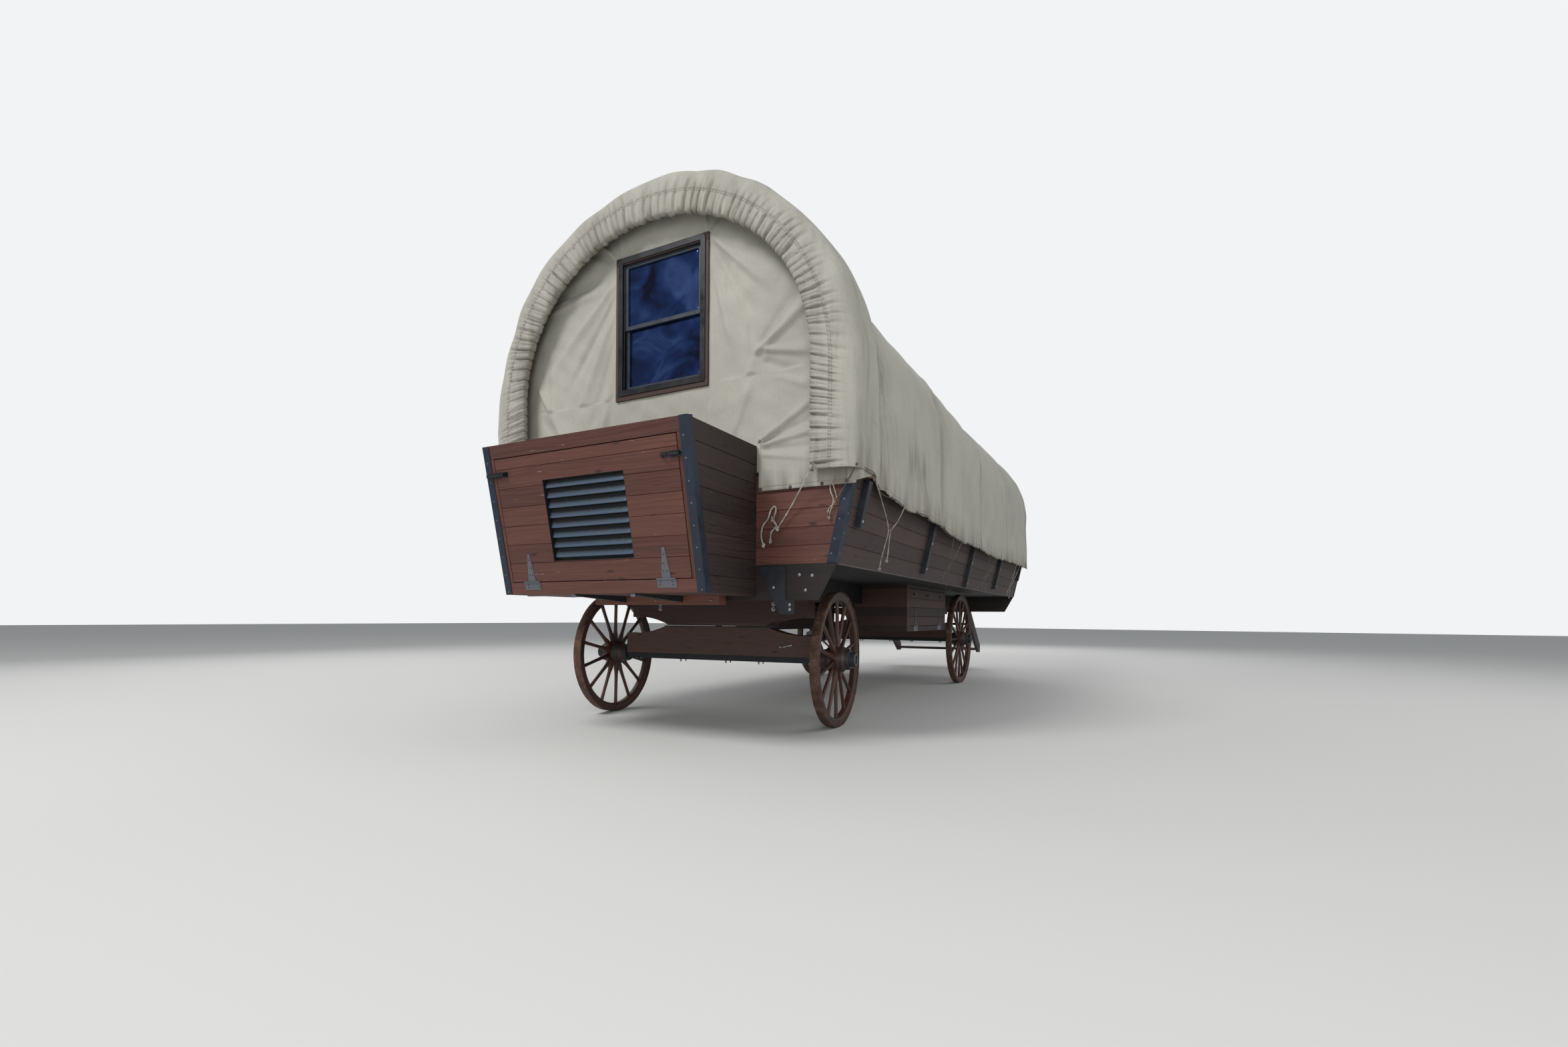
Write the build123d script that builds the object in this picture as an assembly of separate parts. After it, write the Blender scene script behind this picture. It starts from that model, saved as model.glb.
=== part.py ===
"""Covered wagon with a plank body, a canvas cover on bows, a nose box and four spoked wheels.

Millimetres. X is to the right of someone who faces the rear end from the front, Y runs from the
nose box to the rear door, and Z is up from the ground. Each piece is drawn with Y counted from the
outer face of the front end wall, and is moved at the end so that Y = 0 is at mid-length.
"""
import math
import os

from build123d import *

os.makedirs("parts", exist_ok=True)

# Body: floor, flared plank walls and end walls
BODY_LENGTH = 7510.0
BODY_BOTTOM = 1275.0
BODY_HALF = 1518.0          # half the width at the bottom outer corner
FLARE = 0.2226              # run outwards for each unit of height
PLANK = 129.0               # pitch of the tongued boards, along the slope
PLANK_ROWS = 5
WALL = 38.0
FLOOR = 38.0
GROOVE_DEPTH = 5.0
GROOVE_HALF = 4.0
SEAT = 0.3                  # gap where a piece rests against a curved or sloping neighbour

# Cover of canvas and the bows that carry it
BOW_STANDS_OUT = 43.7       # bow's outer face, from the wall's face at the stakes' top
COVER_SPRING = 2550.0
COVER_CROWNS = (4262.0, 3830.0, 3745.0, 3860.0, 3945.0)     # over each bow, from the front
COVER_HEMS = (1862.0, 1748.0, 1700.0, 1712.0, 1739.0)
FRONT_HEM = 1877.0          # at the cover's front end
DIP_PLACE = 430.0           # behind the tall front bow the cover dips down to this
DIP_CROWN = 3850.0
DIP_HEM = 1810.0
HEM_FLARE = 25.0            # how much wider the hem is than the arch, each side
COVER_SKIN = 20.0
COVER_OVERHANG = 60.0       # how far the cover stands out past each end wall
BONNET_DEPTH = 60.0         # thickness of the gathered ring at each end
BONNET_WIDE = 350.0         # width of the ring beside the end panel
BONNET_CROWN = 322.0        # and over it
BONNET_SPRING = 1562.0      # its arch springs this far below the cover's crown
BONNET_BOTTOM = 1890.0
BOW_THICK = 28.0
BOW_FOOT = 1870.0
BOW_WIDE = 64.0

# Stakes that hold the bows
STAKE_INSET = 210.0         # first and last stake, from the end walls
STAKE_WIDE = 64.0
STAKE_DEEP = 46.0
STAKE_STEEL = 6.0
STAKE_TOP = 1850.0
# how far up the slope each stake starts, from the front to the rear
STAKE_STARTS = (268.0, 50.0, 2.0, 50.0, 268.0)

# Arched end panels, set back behind the plank walls
PANEL_SETBACK = 80.0
PANEL = 38.0
SILL_TALL = 64.0            # timber under an end panel
SHEET = 19.7                # canvas in front of an end panel
SHEET_SHELF = 14.0          # canvas laid over the top of the plank wall
SHEET_SKIN = 8.0            # flap that hangs down the plank wall's face
WINDOW_HALF = 450.0
WINDOW_BOTTOM = 2639.0
WINDOW_TOP = 3791.0
TRIM_WIDE = 64.0
TRIM = 21.7
SASH = 44.0
SASH_RAIL = 46.0
GLASS = 6.0
FLAP_HEM = 1800.0

# Nose box with its raked front
NOSE_HALF = 903.0
NOSE_BOTTOM = 1058.0
NOSE_TOP = 2120.0
NOSE_REACH_TOP = 846.0
NOSE_REACH_BOTTOM = 628.0
NOSE_WALL = 30.0
NOSE_BOARD = 25.0
NOSE_DOOR_HALF = 810.0
NOSE_DOOR_LOW = 95.0        # door's lower edge, up the rake from the box's bottom edge
NOSE_DOOR_HIGH = 984.0
NOSE_DOOR = 34.0
NOSE_DOOR_ROWS = 7          # the uppermost board is a narrow one
NOSE_DOOR_PITCH = 135.5
NOSE_ROWS = 8
NOSE_PITCH = 135.8
NOSE_FIRST = 113.0          # lowest board of a side, above the box's bottom
DOOR_GAP = 6.0
LOUVRE_HALF = 365.0
LOUVRE_LOW = 237.0
LOUVRE_HIGH = 805.0
LOUVRE_SLATS = 8
LOUVRE_FRAME = 16.0

# Iron and timber under the front
IRON_LEG = 62.0
IRON = 5.0
HEADER_BOTTOM = 1024.0
HEADER = 38.0
HEADER_FOOT = 1380.0        # half its length at the bottom, where its ends are cut sloping
HEADER_STEP = 600.0         # from here to the left end the front one is shallower
HEADER_STEP_LOW = 1070.0
LEDGER_LEFT = 530.0
LEDGER_RIGHT = 650.0
LEDGER_TALL = 66.0
LEDGER_DEEP = 89.0
GUSSET = 8.0
GUSSET_INNER = 933.0
GUSSET_OUTER = 1146.0
GUSSET_HIGH = 1262.0
GUSSET_TAIL = 64.0          # how far its lower end stands further out
GUSSET_FOOT = 927.0
GUSSET_HEEL = 110.0         # width of its lower end
ARM_PLACES = (-230.0, 310.0)
ARM_WIDE = 40.0
ARM_REACH = 620.0
ARM_ROOT = 46.0             # height of an arm at the ledger
ARM_END = 12.0

# Chassis
RAIL_BOTTOM = 1063.0
RAIL_X = 500.0
RAIL_WIDE = 76.0
RAIL_STEEL = 9.0
CROSS_TUBE = 60.0
CROSS_TUBES = (1500.0, 2700.0, 4800.0, 6600.0)
BOLSTER_HALF = 920.0
BOLSTER_DEEP = 140.0
BOLSTER_LOW = 834.0
PLATE = 8.0
TURN_GAP = 5.0
AXLE_BOARD_HALF = 930.0
BEAM_DROP = 43.0            # underside of the steel beam, below the wheel's centre
BEAM_TALL = 50.0
BEAM_WIDE = 100.0
LENS_X = 520.0              # inner tip of the lens-shaped opening at each end
LENS_RISE = 62.0
KINGPIN = 28.0
KINGPIN_CLEAR = 1.0

# Wheels
FRONT_AXLE = 893.0          # from the front wall's outer face
REAR_AXLE = 5388.0
FRONT_RADIUS = 560.0
REAR_RADIUS = 622.0
TRACK_HALF = 1110.0
STEER_AT_REST = 5.3         # the front axle stands turned by this much, in degrees
TYRE_WIDE = 76.0
TYRE_THICK = 12.0
FELLOE_THICK = 62.0
FELLOE_WIDE = 62.0
FRONT_SPOKES = 14
REAR_SPOKES = 16
SPOKE_HUB = 44.0
SPOKE_RIM = 30.0
HUB_RADIUS = 105.0
HUB_INNER = 160.0           # hub's ends, from the wheel's mid-plane
HUB_OUTER = 170.0
SPINDLE = 30.0
SPINDLE_CLEAR = 1.0

# Side lockers under the floor
LOCKER_FRONT = 2950.0
LOCKER_REAR = 4610.0
LOCKER_INNER = 480.0
LOCKER_OUTER = 1100.0
LOCKER_BOTTOM = 757.0
LOCKER_WALL = 25.0
LOCKER_DOOR_LOW = 822.0
LOCKER_DOOR_HIGH = 1232.0
LOCKER_DOOR_FRONT = 3072.0
LOCKER_DOOR_REAR = 4542.0
LOCKER_HINGES = (3275.0, 4304.0)

# T-hinges: a plate on the carrier, a tapering strap on the door
HINGE_PIN = 3.0
HINGE_KNUCKLE = 5.7
HINGE_OUT = 6.0             # pin's axis, out of the door's face
HINGE_HALF = 78.0
HINGE_MID = 11.5            # half the length of the strap's knuckle
HINGE_PLATE = 52.0
HINGE_STRAP = 205.0
HINGE_BASE = 38.0
HINGE_TIP = 10.0
HINGE_STEEL = 3.0
NOSE_HINGE_X = 612.0

# Rear door and steps
DOOR_HALF = 390.0
DOOR_SILL = 1330.0
DOOR_HEAD = 3330.0
DOOR_LEAF = 44.0
DOOR_TRIM = 70.0            # posts and head round the doorway
DOOR_HINGES = (1600.0, 2330.0, 3060.0)
STEP_HALF = 780.0
STEP_STRINGER = 45.0
STEP_TOP = 1060.0
STEP_COUNT = 4
STEP_GO = 235.0
STEP_GAP = 30.0
STEP_TREAD = 40.0
STEP_BOARD = 125.0          # the stringers: how tall, and how far past the treads
STEP_RIM = 60.0
STEP_BELOW = 40.0

FAR = 5000.0                # longer than any piece, for cutting shapes

SLOPE = math.atan(FLARE)
WALL_TOP = BODY_BOTTOM + PLANK_ROWS * PLANK * math.cos(SLOPE)
SILL_TOP = WALL_TOP + WALL * math.sin(SLOPE) + SEAT
STEP_REACH = STEP_COUNT * STEP_GO + 2 * STEP_GAP
RAKE = math.hypot(NOSE_REACH_TOP - NOSE_REACH_BOTTOM, NOSE_TOP - NOSE_BOTTOM)
NOSE_TIP = NOSE_REACH_TOP + IRON * (NOSE_TOP - NOSE_BOTTOM) / RAKE
MID = (BODY_LENGTH + STEP_REACH - NOSE_TIP) / 2.0


def half_width(z):
    """Half the body's outer width at height z."""
    return BODY_HALF + FLARE * (z - BODY_BOTTOM)


BOW_HALF = half_width(STAKE_TOP) + BOW_STANDS_OUT
COVER_HALF = BOW_HALF + SEAT + COVER_SKIN
HEM_HALF = COVER_HALF + HEM_FLARE
BONNET_HALF = COVER_HALF - BONNET_WIDE
FRONT_CROWN = COVER_CROWNS[0]
REAR_CROWN = COVER_CROWNS[-1]


def across(sketch, y0, y1):
    """A drawing in X and Z, carried along Y from y0 to y1."""
    plane = Plane(origin=(0, y0, 0), x_dir=(1, 0, 0), z_dir=(0, -1, 0))
    return extrude(plane * sketch, amount=-(y1 - y0))


def along(sketch, x0, x1):
    """A drawing in Y and Z, carried along X from x0 to x1."""
    plane = Plane(origin=(x0, 0, 0), x_dir=(0, 1, 0), z_dir=(1, 0, 0))
    return extrude(plane * sketch, amount=x1 - x0)


def outline(*points):
    return make_face(Polyline(*points, close=True))


def block(x0, x1, y0, y1, z0, z1):
    centre = ((x0 + x1) / 2, (y0 + y1) / 2, (z0 + z1) / 2)
    return Pos(*centre) * Box(x1 - x0, y1 - y0, z1 - z0)


def mirrored(shape):
    return mirror(shape, about=Plane.YZ)


def group(shapes):
    """Separate solids kept as one piece."""
    return Compound([solid for shape in shapes for solid in shape.solids()])


def both(shape):
    """The shape and its mirror image across the wagon's middle."""
    return group([shape, mirrored(shape)])


def arch(half, spring, top, bottom, foot):
    """Half an ellipse on legs that run down to the foot's half width."""
    rise = top - spring
    upper = Pos(0, spring) * Ellipse(half, rise) & Pos(0, spring + rise / 2) * Rectangle(2 * half, rise)
    return upper + outline((-foot, bottom), (foot, bottom), (half, spring), (-half, spring))


def board_edge(length, rows, pitch, thick):
    """Section of a row of boards: a flat back and a V groove at each joint of the face."""
    points = [(0, 0)]
    for row in range(1, rows):
        joint = row * pitch
        points += [(joint - GROOVE_HALF, 0), (joint, -GROOVE_DEPTH), (joint + GROOVE_HALF, 0)]
    points += [(length, 0), (length, -thick), (0, -thick)]
    return outline(*points)


def save(name, shape):
    """Each solid is moved by itself, so that the file holds its final place."""
    solids = [Pos(0, -MID, 0) * solid for solid in shape.solids()]
    export_step(Compound(solids) if len(solids) > 1 else solids[0], f"parts/{name}.step")


def steered(shape):
    """The front gear stands a little turned about the kingpin."""
    return shape.rotate(Axis((0, FRONT_AXLE, 0), (0, 0, 1)), STEER_AT_REST)


# Plank walls: u runs up the slope and v points out of the face
SIDE_PLANE = Plane(
    origin=(BODY_HALF, 0, BODY_BOTTOM),
    x_dir=(math.sin(SLOPE), 0, math.cos(SLOPE)),
    z_dir=(0, -1, 0),
)


def on_slope(sketch, y0, y1):
    """A drawing in u up the slope and v (out of the wall is positive), from y0 to y1."""
    plane = Plane(origin=(BODY_HALF, y0, BODY_BOTTOM), x_dir=SIDE_PLANE.x_dir, z_dir=(0, -1, 0))
    return extrude(plane * mirror(sketch, about=Plane.XZ), amount=-(y1 - y0))


def side_wall():
    section = board_edge(PLANK_ROWS * PLANK, PLANK_ROWS, PLANK, WALL)
    return on_slope(section, WALL, BODY_LENGTH - WALL)


def end_wall():
    """The front end wall, its boards level, cut to the flare of the sides."""
    rise = PLANK * math.cos(SLOPE)
    section = board_edge(PLANK_ROWS * rise, PLANK_ROWS, rise, WALL)
    plane = Plane(origin=(-FAR, 0, BODY_BOTTOM), x_dir=(0, 0, 1), z_dir=(1, 0, 0))
    boards = extrude(plane * section, amount=2 * FAR)
    shape = across(
        outline(
            (-BODY_HALF, BODY_BOTTOM), (BODY_HALF, BODY_BOTTOM),
            (half_width(WALL_TOP), WALL_TOP), (-half_width(WALL_TOP), WALL_TOP),
        ),
        -WALL, WALL,
    )
    return boards & shape


def to_rear(shape):
    """The same piece at the other end, turned to face the rear."""
    return mirror(shape, about=Plane.XZ.offset(-BODY_LENGTH / 2))


def floor_deck():
    half = BODY_HALF - WALL * math.cos(SLOPE) - SEAT
    return block(-half, half, WALL, BODY_LENGTH - WALL, BODY_BOTTOM, BODY_BOTTOM + FLOOR)


def corner_iron():
    """Angle iron on the front right corner, a leg on each wall."""
    reach = IRON_LEG / math.cos(SLOPE)
    front = across(
        outline(
            (BODY_HALF - reach, BODY_BOTTOM), (BODY_HALF + IRON, BODY_BOTTOM),
            (half_width(WALL_TOP) + IRON, WALL_TOP), (half_width(WALL_TOP) - reach, WALL_TOP),
        ),
        -IRON - SEAT, -SEAT,
    )
    side = on_slope(Pos(PLANK_ROWS * PLANK / 2, SEAT + IRON / 2) * Rectangle(PLANK_ROWS * PLANK, IRON),
                    -SEAT - IRON, IRON_LEG)
    return (front + side) - block(0, FAR, -FAR, FAR, 0, BODY_BOTTOM)


def stake(start):
    """Channel with its open side to the wall, from start up the slope to the bow's foot."""
    end = (STAKE_TOP - BODY_BOTTOM) / math.cos(SLOPE)
    section = Rectangle(STAKE_DEEP, STAKE_WIDE) - Pos(-STAKE_STEEL, 0) * Rectangle(
        STAKE_DEEP, STAKE_WIDE - 2 * STAKE_STEEL)
    plane = Plane(
        origin=SIDE_PLANE.origin + start * SIDE_PLANE.x_dir
        + (SEAT + STAKE_DEEP / 2) * Vector(math.cos(SLOPE), 0, -math.sin(SLOPE)),
        x_dir=(math.cos(SLOPE), 0, -math.sin(SLOPE)),
        z_dir=SIDE_PLANE.x_dir,
    )
    return extrude(plane * section, amount=end - start)


def stake_places():
    pitch = (BODY_LENGTH - 2 * STAKE_INSET) / (len(STAKE_STARTS) - 1)
    return [(STAKE_INSET + index * pitch, start) for index, start in enumerate(STAKE_STARTS)]


def stakes():
    return both(group([Pos(0, y, 0) * stake(start) for y, start in stake_places()]))


def bows():
    half = BOW_HALF
    pieces = []
    for (y, _), crown in zip(stake_places(), COVER_CROWNS):
        top = crown - COVER_SKIN - SEAT
        ring = arch(half, COVER_SPRING, top, BOW_FOOT, half) - arch(
            half - BOW_THICK, COVER_SPRING, top - BOW_THICK, BOW_FOOT, half - BOW_THICK)
        pieces.append(across(ring, y - BOW_WIDE / 2, y + BOW_WIDE / 2))
    return group(pieces)


def cover_line():
    """Rows of place, crown and hem: level over each bow, straight from bow to bow."""
    rows = []
    for (y, _), crown, hem in zip(stake_places(), COVER_CROWNS, COVER_HEMS):
        rows += [(y - BOW_WIDE, crown, hem), (y + BOW_WIDE, crown, hem)]
    front = (-COVER_OVERHANG, FRONT_CROWN, FRONT_HEM)
    dip = (DIP_PLACE, DIP_CROWN, DIP_HEM)
    rear = (BODY_LENGTH + COVER_OVERHANG, REAR_CROWN, COVER_HEMS[-1])
    return [front, rows[1], dip] + rows[2:-1] + [rear]


def cover_section(y, crown, hem):
    """The cover's skin cut across at y."""
    inner = COVER_HALF - COVER_SKIN
    tuck = HEM_HALF - COVER_SKIN
    base = Plane(origin=(0, COVER_SPRING, 0))
    outside = Edge.make_ellipse(COVER_HALF, crown - COVER_SPRING, base, 0, 180)
    inside = Edge.make_ellipse(inner, crown - COVER_SKIN - COVER_SPRING, base, 0, 180)
    right = Polyline((COVER_HALF, COVER_SPRING), (HEM_HALF, hem), (tuck, hem), (inner, COVER_SPRING))
    left = Polyline((-COVER_HALF, COVER_SPRING), (-HEM_HALF, hem), (-tuck, hem), (-inner, COVER_SPRING))
    plane = Plane(origin=(0, y, 0), x_dir=(1, 0, 0), z_dir=(0, -1, 0))
    return plane * make_face([outside, *right.edges(), inside, *left.edges()])


def bonnet(crown):
    """The gathered ring at an end, as thick as it is drawn at the front."""
    clip = Pos(0, BONNET_BOTTOM + FAR / 2) * Rectangle(FAR, FAR)
    whole = arch(COVER_HALF, COVER_SPRING, crown, COVER_HEMS[-1], HEM_HALF) & clip
    hole = arch(BONNET_HALF, crown - BONNET_SPRING, crown - BONNET_CROWN, BONNET_BOTTOM - 10, BONNET_HALF)
    return across(whole - hole, -COVER_OVERHANG - BONNET_DEPTH, -COVER_OVERHANG)


def cover():
    sections = [cover_section(*row) for row in cover_line()]
    shell = loft(sections[:2], ruled=True)
    for near, far in zip(sections[1:], sections[2:]):
        shell = shell + loft([near, far], ruled=True)
    return shell + bonnet(FRONT_CROWN) + to_rear(bonnet(REAR_CROWN))


def panel_outline(crown):
    return arch(BOW_HALF, COVER_SPRING, crown - COVER_SKIN - SEAT, SILL_TOP, BOW_HALF)


def end_sill():
    """Timber between the side walls that carries the end panel."""
    foot = half_width(SILL_TOP - SILL_TALL) - WALL / math.cos(SLOPE) - SEAT
    head = half_width(SILL_TOP) - WALL / math.cos(SLOPE) - SEAT
    low = SILL_TOP - SILL_TALL
    return across(outline((-foot, low), (foot, low), (head, SILL_TOP), (-head, SILL_TOP)),
                  WALL, PANEL_SETBACK + PANEL)


def window_hole(margin):
    tall = WINDOW_TOP - WINDOW_BOTTOM - 2 * margin
    return Pos(0, (WINDOW_TOP + WINDOW_BOTTOM) / 2) * Rectangle(2 * (WINDOW_HALF - margin), tall)


def front_panel():
    shape = panel_outline(FRONT_CROWN) - window_hole(TRIM_WIDE)
    return across(shape, PANEL_SETBACK, PANEL_SETBACK + PANEL)


def door_hole(margin):
    tall = DOOR_HEAD - DOOR_SILL + 2 * margin
    return Pos(0, (DOOR_HEAD + DOOR_SILL) / 2) * Rectangle(2 * (DOOR_HALF + margin), tall)


def canvas_apron():
    """Canvas that comes forward over the plank wall and hangs down its face."""
    half = half_width(FLAP_HEM)
    high = SILL_TOP + SHEET_SHELF
    back = PANEL_SETBACK - SEAT
    face = -SEAT - IRON - 1
    shelf = block(-half, half, face - SHEET_SKIN, back, SILL_TOP + SEAT, high)
    return shelf + block(-half, half, face - SHEET_SKIN, face, FLAP_HEM, high)


def canvas_front():
    """Canvas over the front end panel, with the flap that hangs over the plank wall."""
    y = PANEL_SETBACK - SHEET - SEAT
    upper = across(panel_outline(FRONT_CROWN) - window_hole(TRIM_WIDE / 2), y, y + SHEET)
    notch = block(-NOSE_HALF - 20, NOSE_HALF + 20, -40, -SEAT, FLAP_HEM - 1, NOSE_TOP + 20)
    return upper + (canvas_apron() - notch)


def window_frame():
    y = PANEL_SETBACK - SHEET - 2 * SEAT
    return across(window_hole(0) - window_hole(TRIM_WIDE), y - TRIM, y)


def window_sash():
    y = PANEL_SETBACK
    frame = window_hole(TRIM_WIDE + SEAT) - window_hole(TRIM_WIDE + SASH_RAIL)
    middle = (WINDOW_TOP + WINDOW_BOTTOM) / 2
    bar = Pos(0, middle) * Rectangle(2 * (WINDOW_HALF - TRIM_WIDE - 2), SASH_RAIL)
    return across(frame + bar, y - 24, y - 24 + SASH)


def window_glass():
    y = PANEL_SETBACK - 6
    middle = (WINDOW_TOP + WINDOW_BOTTOM) / 2
    bar = Pos(0, middle) * Rectangle(FAR, SASH_RAIL + 2 * SEAT)
    pane = window_hole(TRIM_WIDE + SASH_RAIL + SEAT) - bar
    return across(pane, y, y + GLASS)


# Nose box: its front is drawn in its own raked plane, x across and y up the rake
RAKE_UP = Vector(0, -(NOSE_REACH_TOP - NOSE_REACH_BOTTOM) / RAKE, (NOSE_TOP - NOSE_BOTTOM) / RAKE)
RAKE_OUT = Vector(1, 0, 0).cross(RAKE_UP)


def raked(depth=0.0):
    """Plane of the nose box's front, moved in by depth."""
    origin = Vector(0, -NOSE_REACH_BOTTOM, NOSE_BOTTOM) - depth * RAKE_OUT
    return Plane(origin=origin, x_dir=(1, 0, 0), z_dir=RAKE_OUT)


def nose_profile():
    return outline((-SEAT, NOSE_BOTTOM), (-SEAT, NOSE_TOP),
                   (-NOSE_REACH_TOP, NOSE_TOP), (-NOSE_REACH_BOTTOM, NOSE_BOTTOM))


def nose_sides():
    section = board_edge(NOSE_ROWS * NOSE_PITCH, NOSE_ROWS, NOSE_PITCH, NOSE_WALL)
    start = NOSE_BOTTOM + NOSE_FIRST - NOSE_PITCH
    plane = Plane(origin=(NOSE_HALF, 0, start), x_dir=(0, 0, 1), z_dir=(0, -1, 0))
    boards = extrude(plane * mirror(section, about=Plane.XZ), amount=FAR)
    return both((boards & along(nose_profile(), 0, FAR)) - ahead_of_face())


def ahead_of_face():
    """Everything from the back of the raked face forwards."""
    return extrude(raked(NOSE_WALL + SEAT) * (Pos(0, RAKE / 2) * Rectangle(FAR, FAR)), amount=FAR)


def nose_boards():
    """Top and floor of the nose box, between its sides."""
    inner = NOSE_HALF - NOSE_WALL - SEAT
    lid = block(-inner, inner, -FAR, -SEAT, NOSE_TOP - NOSE_BOARD, NOSE_TOP)
    deck = block(-inner, inner, -FAR, -SEAT, NOSE_BOTTOM, NOSE_BOTTOM + NOSE_BOARD)
    return group([lid - ahead_of_face(), deck - ahead_of_face()])


def nose_face():
    tall = NOSE_DOOR_HIGH - NOSE_DOOR_LOW + 2 * DOOR_GAP
    whole = Pos(0, RAKE / 2) * Rectangle(2 * NOSE_HALF, RAKE)
    hole = Pos(0, (NOSE_DOOR_LOW + NOSE_DOOR_HIGH) / 2) * Rectangle(2 * (NOSE_DOOR_HALF + DOOR_GAP), tall)
    return extrude(raked() * (whole - hole), amount=-NOSE_WALL)


def nose_irons():
    """Angle irons on the two raked front corners."""
    leg = Pos(NOSE_HALF - IRON_LEG / 2 + IRON, RAKE / 2) * Rectangle(IRON_LEG, RAKE)
    front = extrude(raked() * leg, amount=IRON)
    edge = Pos(NOSE_HALF + SEAT + IRON / 2, RAKE / 2) * Rectangle(IRON, RAKE)
    side = extrude(raked(-IRON) * edge, amount=-IRON_LEG)
    return both(front + side)


def nose_door():
    tall = NOSE_DOOR_HIGH - NOSE_DOOR_LOW
    section = board_edge(tall, NOSE_DOOR_ROWS, NOSE_DOOR_PITCH, NOSE_DOOR)
    base = raked()
    start = base.origin + NOSE_DOOR_LOW * RAKE_UP - NOSE_DOOR_HALF * Vector(1, 0, 0)
    plane = Plane(origin=start, x_dir=RAKE_UP, z_dir=Vector(1, 0, 0))
    boards = extrude(plane * section, amount=2 * NOSE_DOOR_HALF)
    hole = Pos(0, (LOUVRE_LOW + LOUVRE_HIGH) / 2) * Rectangle(2 * LOUVRE_HALF, LOUVRE_HIGH - LOUVRE_LOW)
    return boards - extrude(raked(-NOSE_DOOR) * hole, amount=-3 * NOSE_DOOR)


def nose_louvre():
    """Frame in the door's opening, with sloping slats between its sides."""
    tall = LOUVRE_HIGH - LOUVRE_LOW - 2 * SEAT
    middle = (LOUVRE_LOW + LOUVRE_HIGH) / 2
    wide = 2 * (LOUVRE_HALF - SEAT)
    frame = extrude(
        raked() * (Pos(0, middle) * (
            Rectangle(wide, tall) - Rectangle(wide - 2 * LOUVRE_FRAME, tall - 2 * LOUVRE_FRAME))),
        amount=-NOSE_DOOR)
    pitch = tall / LOUVRE_SLATS
    slats = []
    for index in range(LOUVRE_SLATS):
        up = middle - tall / 2 + (index + 0.5) * pitch
        at = raked().origin + up * RAKE_UP - (NOSE_DOOR / 2) * RAKE_OUT
        tilt = Plane(origin=at, x_dir=(1, 0, 0), z_dir=RAKE_OUT) * Rot(35, 0, 0)
        slats.append(tilt * Box(wide - 2 * LOUVRE_FRAME + 2, 6, 44))
    for slat in slats:
        frame = frame + slat
    return frame


def hinge_plate():
    """Fixed half of a hinge with its pin along X, the door on +Y and Z out of the face."""
    reach = HINGE_KNUCKLE + 1
    leaf = block(-HINGE_HALF, HINGE_HALF, -reach - HINGE_PLATE, -reach, SEAT, SEAT + HINGE_STEEL)
    leaf = leaf + Pos(0, 0, HINGE_OUT) * Rot(0, 90, 0) * Cylinder(HINGE_PIN, 2 * HINGE_HALF)
    span = HINGE_HALF - HINGE_MID - SEAT
    for side in (-1, 1):
        middle = side * (HINGE_HALF - span / 2)
        leaf = leaf + Pos(middle, 0, HINGE_OUT) * Rot(0, 90, 0) * Cylinder(HINGE_KNUCKLE, span)
        leaf = leaf + block(middle - span / 2, middle + span / 2, -reach - 1, 0, SEAT, SEAT + HINGE_STEEL)
    return leaf


def hinge_strap():
    """Moving half of the same hinge, with its knuckle round the pin."""
    reach = HINGE_KNUCKLE + 1
    blade = extrude(Pos(0, 0, SEAT) * outline(
        (-HINGE_BASE, reach), (HINGE_BASE, reach), (HINGE_TIP, HINGE_STRAP), (-HINGE_TIP, HINGE_STRAP)),
        amount=HINGE_STEEL)
    blade = blade + block(-HINGE_MID, HINGE_MID, 0, reach + 1, SEAT, SEAT + HINGE_STEEL)
    blade = blade + Pos(0, 0, HINGE_OUT) * Rot(0, 90, 0) * Cylinder(HINGE_KNUCKLE, 2 * HINGE_MID)
    return blade - Pos(0, 0, HINGE_OUT) * Rot(0, 90, 0) * Cylinder(HINGE_PIN + SEAT, 4 * HINGE_MID)


def nose_hinge_places():
    start = raked().origin + (NOSE_DOOR_LOW - DOOR_GAP / 2) * RAKE_UP
    return [Plane(origin=start + x * Vector(1, 0, 0), x_dir=(1, 0, 0), z_dir=RAKE_OUT)
            for x in (-NOSE_HINGE_X, NOSE_HINGE_X)]


def locker_hinge_places():
    low = LOCKER_DOOR_LOW - DOOR_GAP / 2
    return [Plane(origin=(LOCKER_OUTER, y, low), x_dir=(0, 1, 0), z_dir=(1, 0, 0)) for y in LOCKER_HINGES]


def door_hinge_places():
    edge = -DOOR_HALF - DOOR_GAP / 2
    face = BODY_LENGTH + SEAT
    return [Plane(origin=(edge, face, z), x_dir=(0, 0, 1), z_dir=(0, 1, 0)) for z in DOOR_HINGES]


def hinges(places, half):
    return group([place * half for place in places])


def header():
    return across(outline((-HEADER_FOOT, HEADER_BOTTOM), (HEADER_FOOT, HEADER_BOTTOM),
                          (BODY_HALF, BODY_BOTTOM), (-BODY_HALF, BODY_BOTTOM)), 0, HEADER)


def front_header():
    return header() - block(-BODY_HALF, -HEADER_STEP, -1, HEADER + 1, HEADER_BOTTOM - 1, HEADER_STEP_LOW)


def ledger():
    return block(-LEDGER_LEFT, LEDGER_RIGHT, -LEDGER_DEEP, 0, NOSE_BOTTOM - LEDGER_TALL, NOSE_BOTTOM)


def nose_arms():
    """Tapering steel arms under the nose box, from the ledger forwards."""
    root = -LEDGER_DEEP - SEAT
    high = NOSE_BOTTOM - SEAT
    side = outline((root, high), (root, high - ARM_ROOT), (-ARM_REACH, high - ARM_END), (-ARM_REACH, high))
    return group([along(side, x - ARM_WIDE / 2, x + ARM_WIDE / 2) for x in ARM_PLACES])


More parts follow.
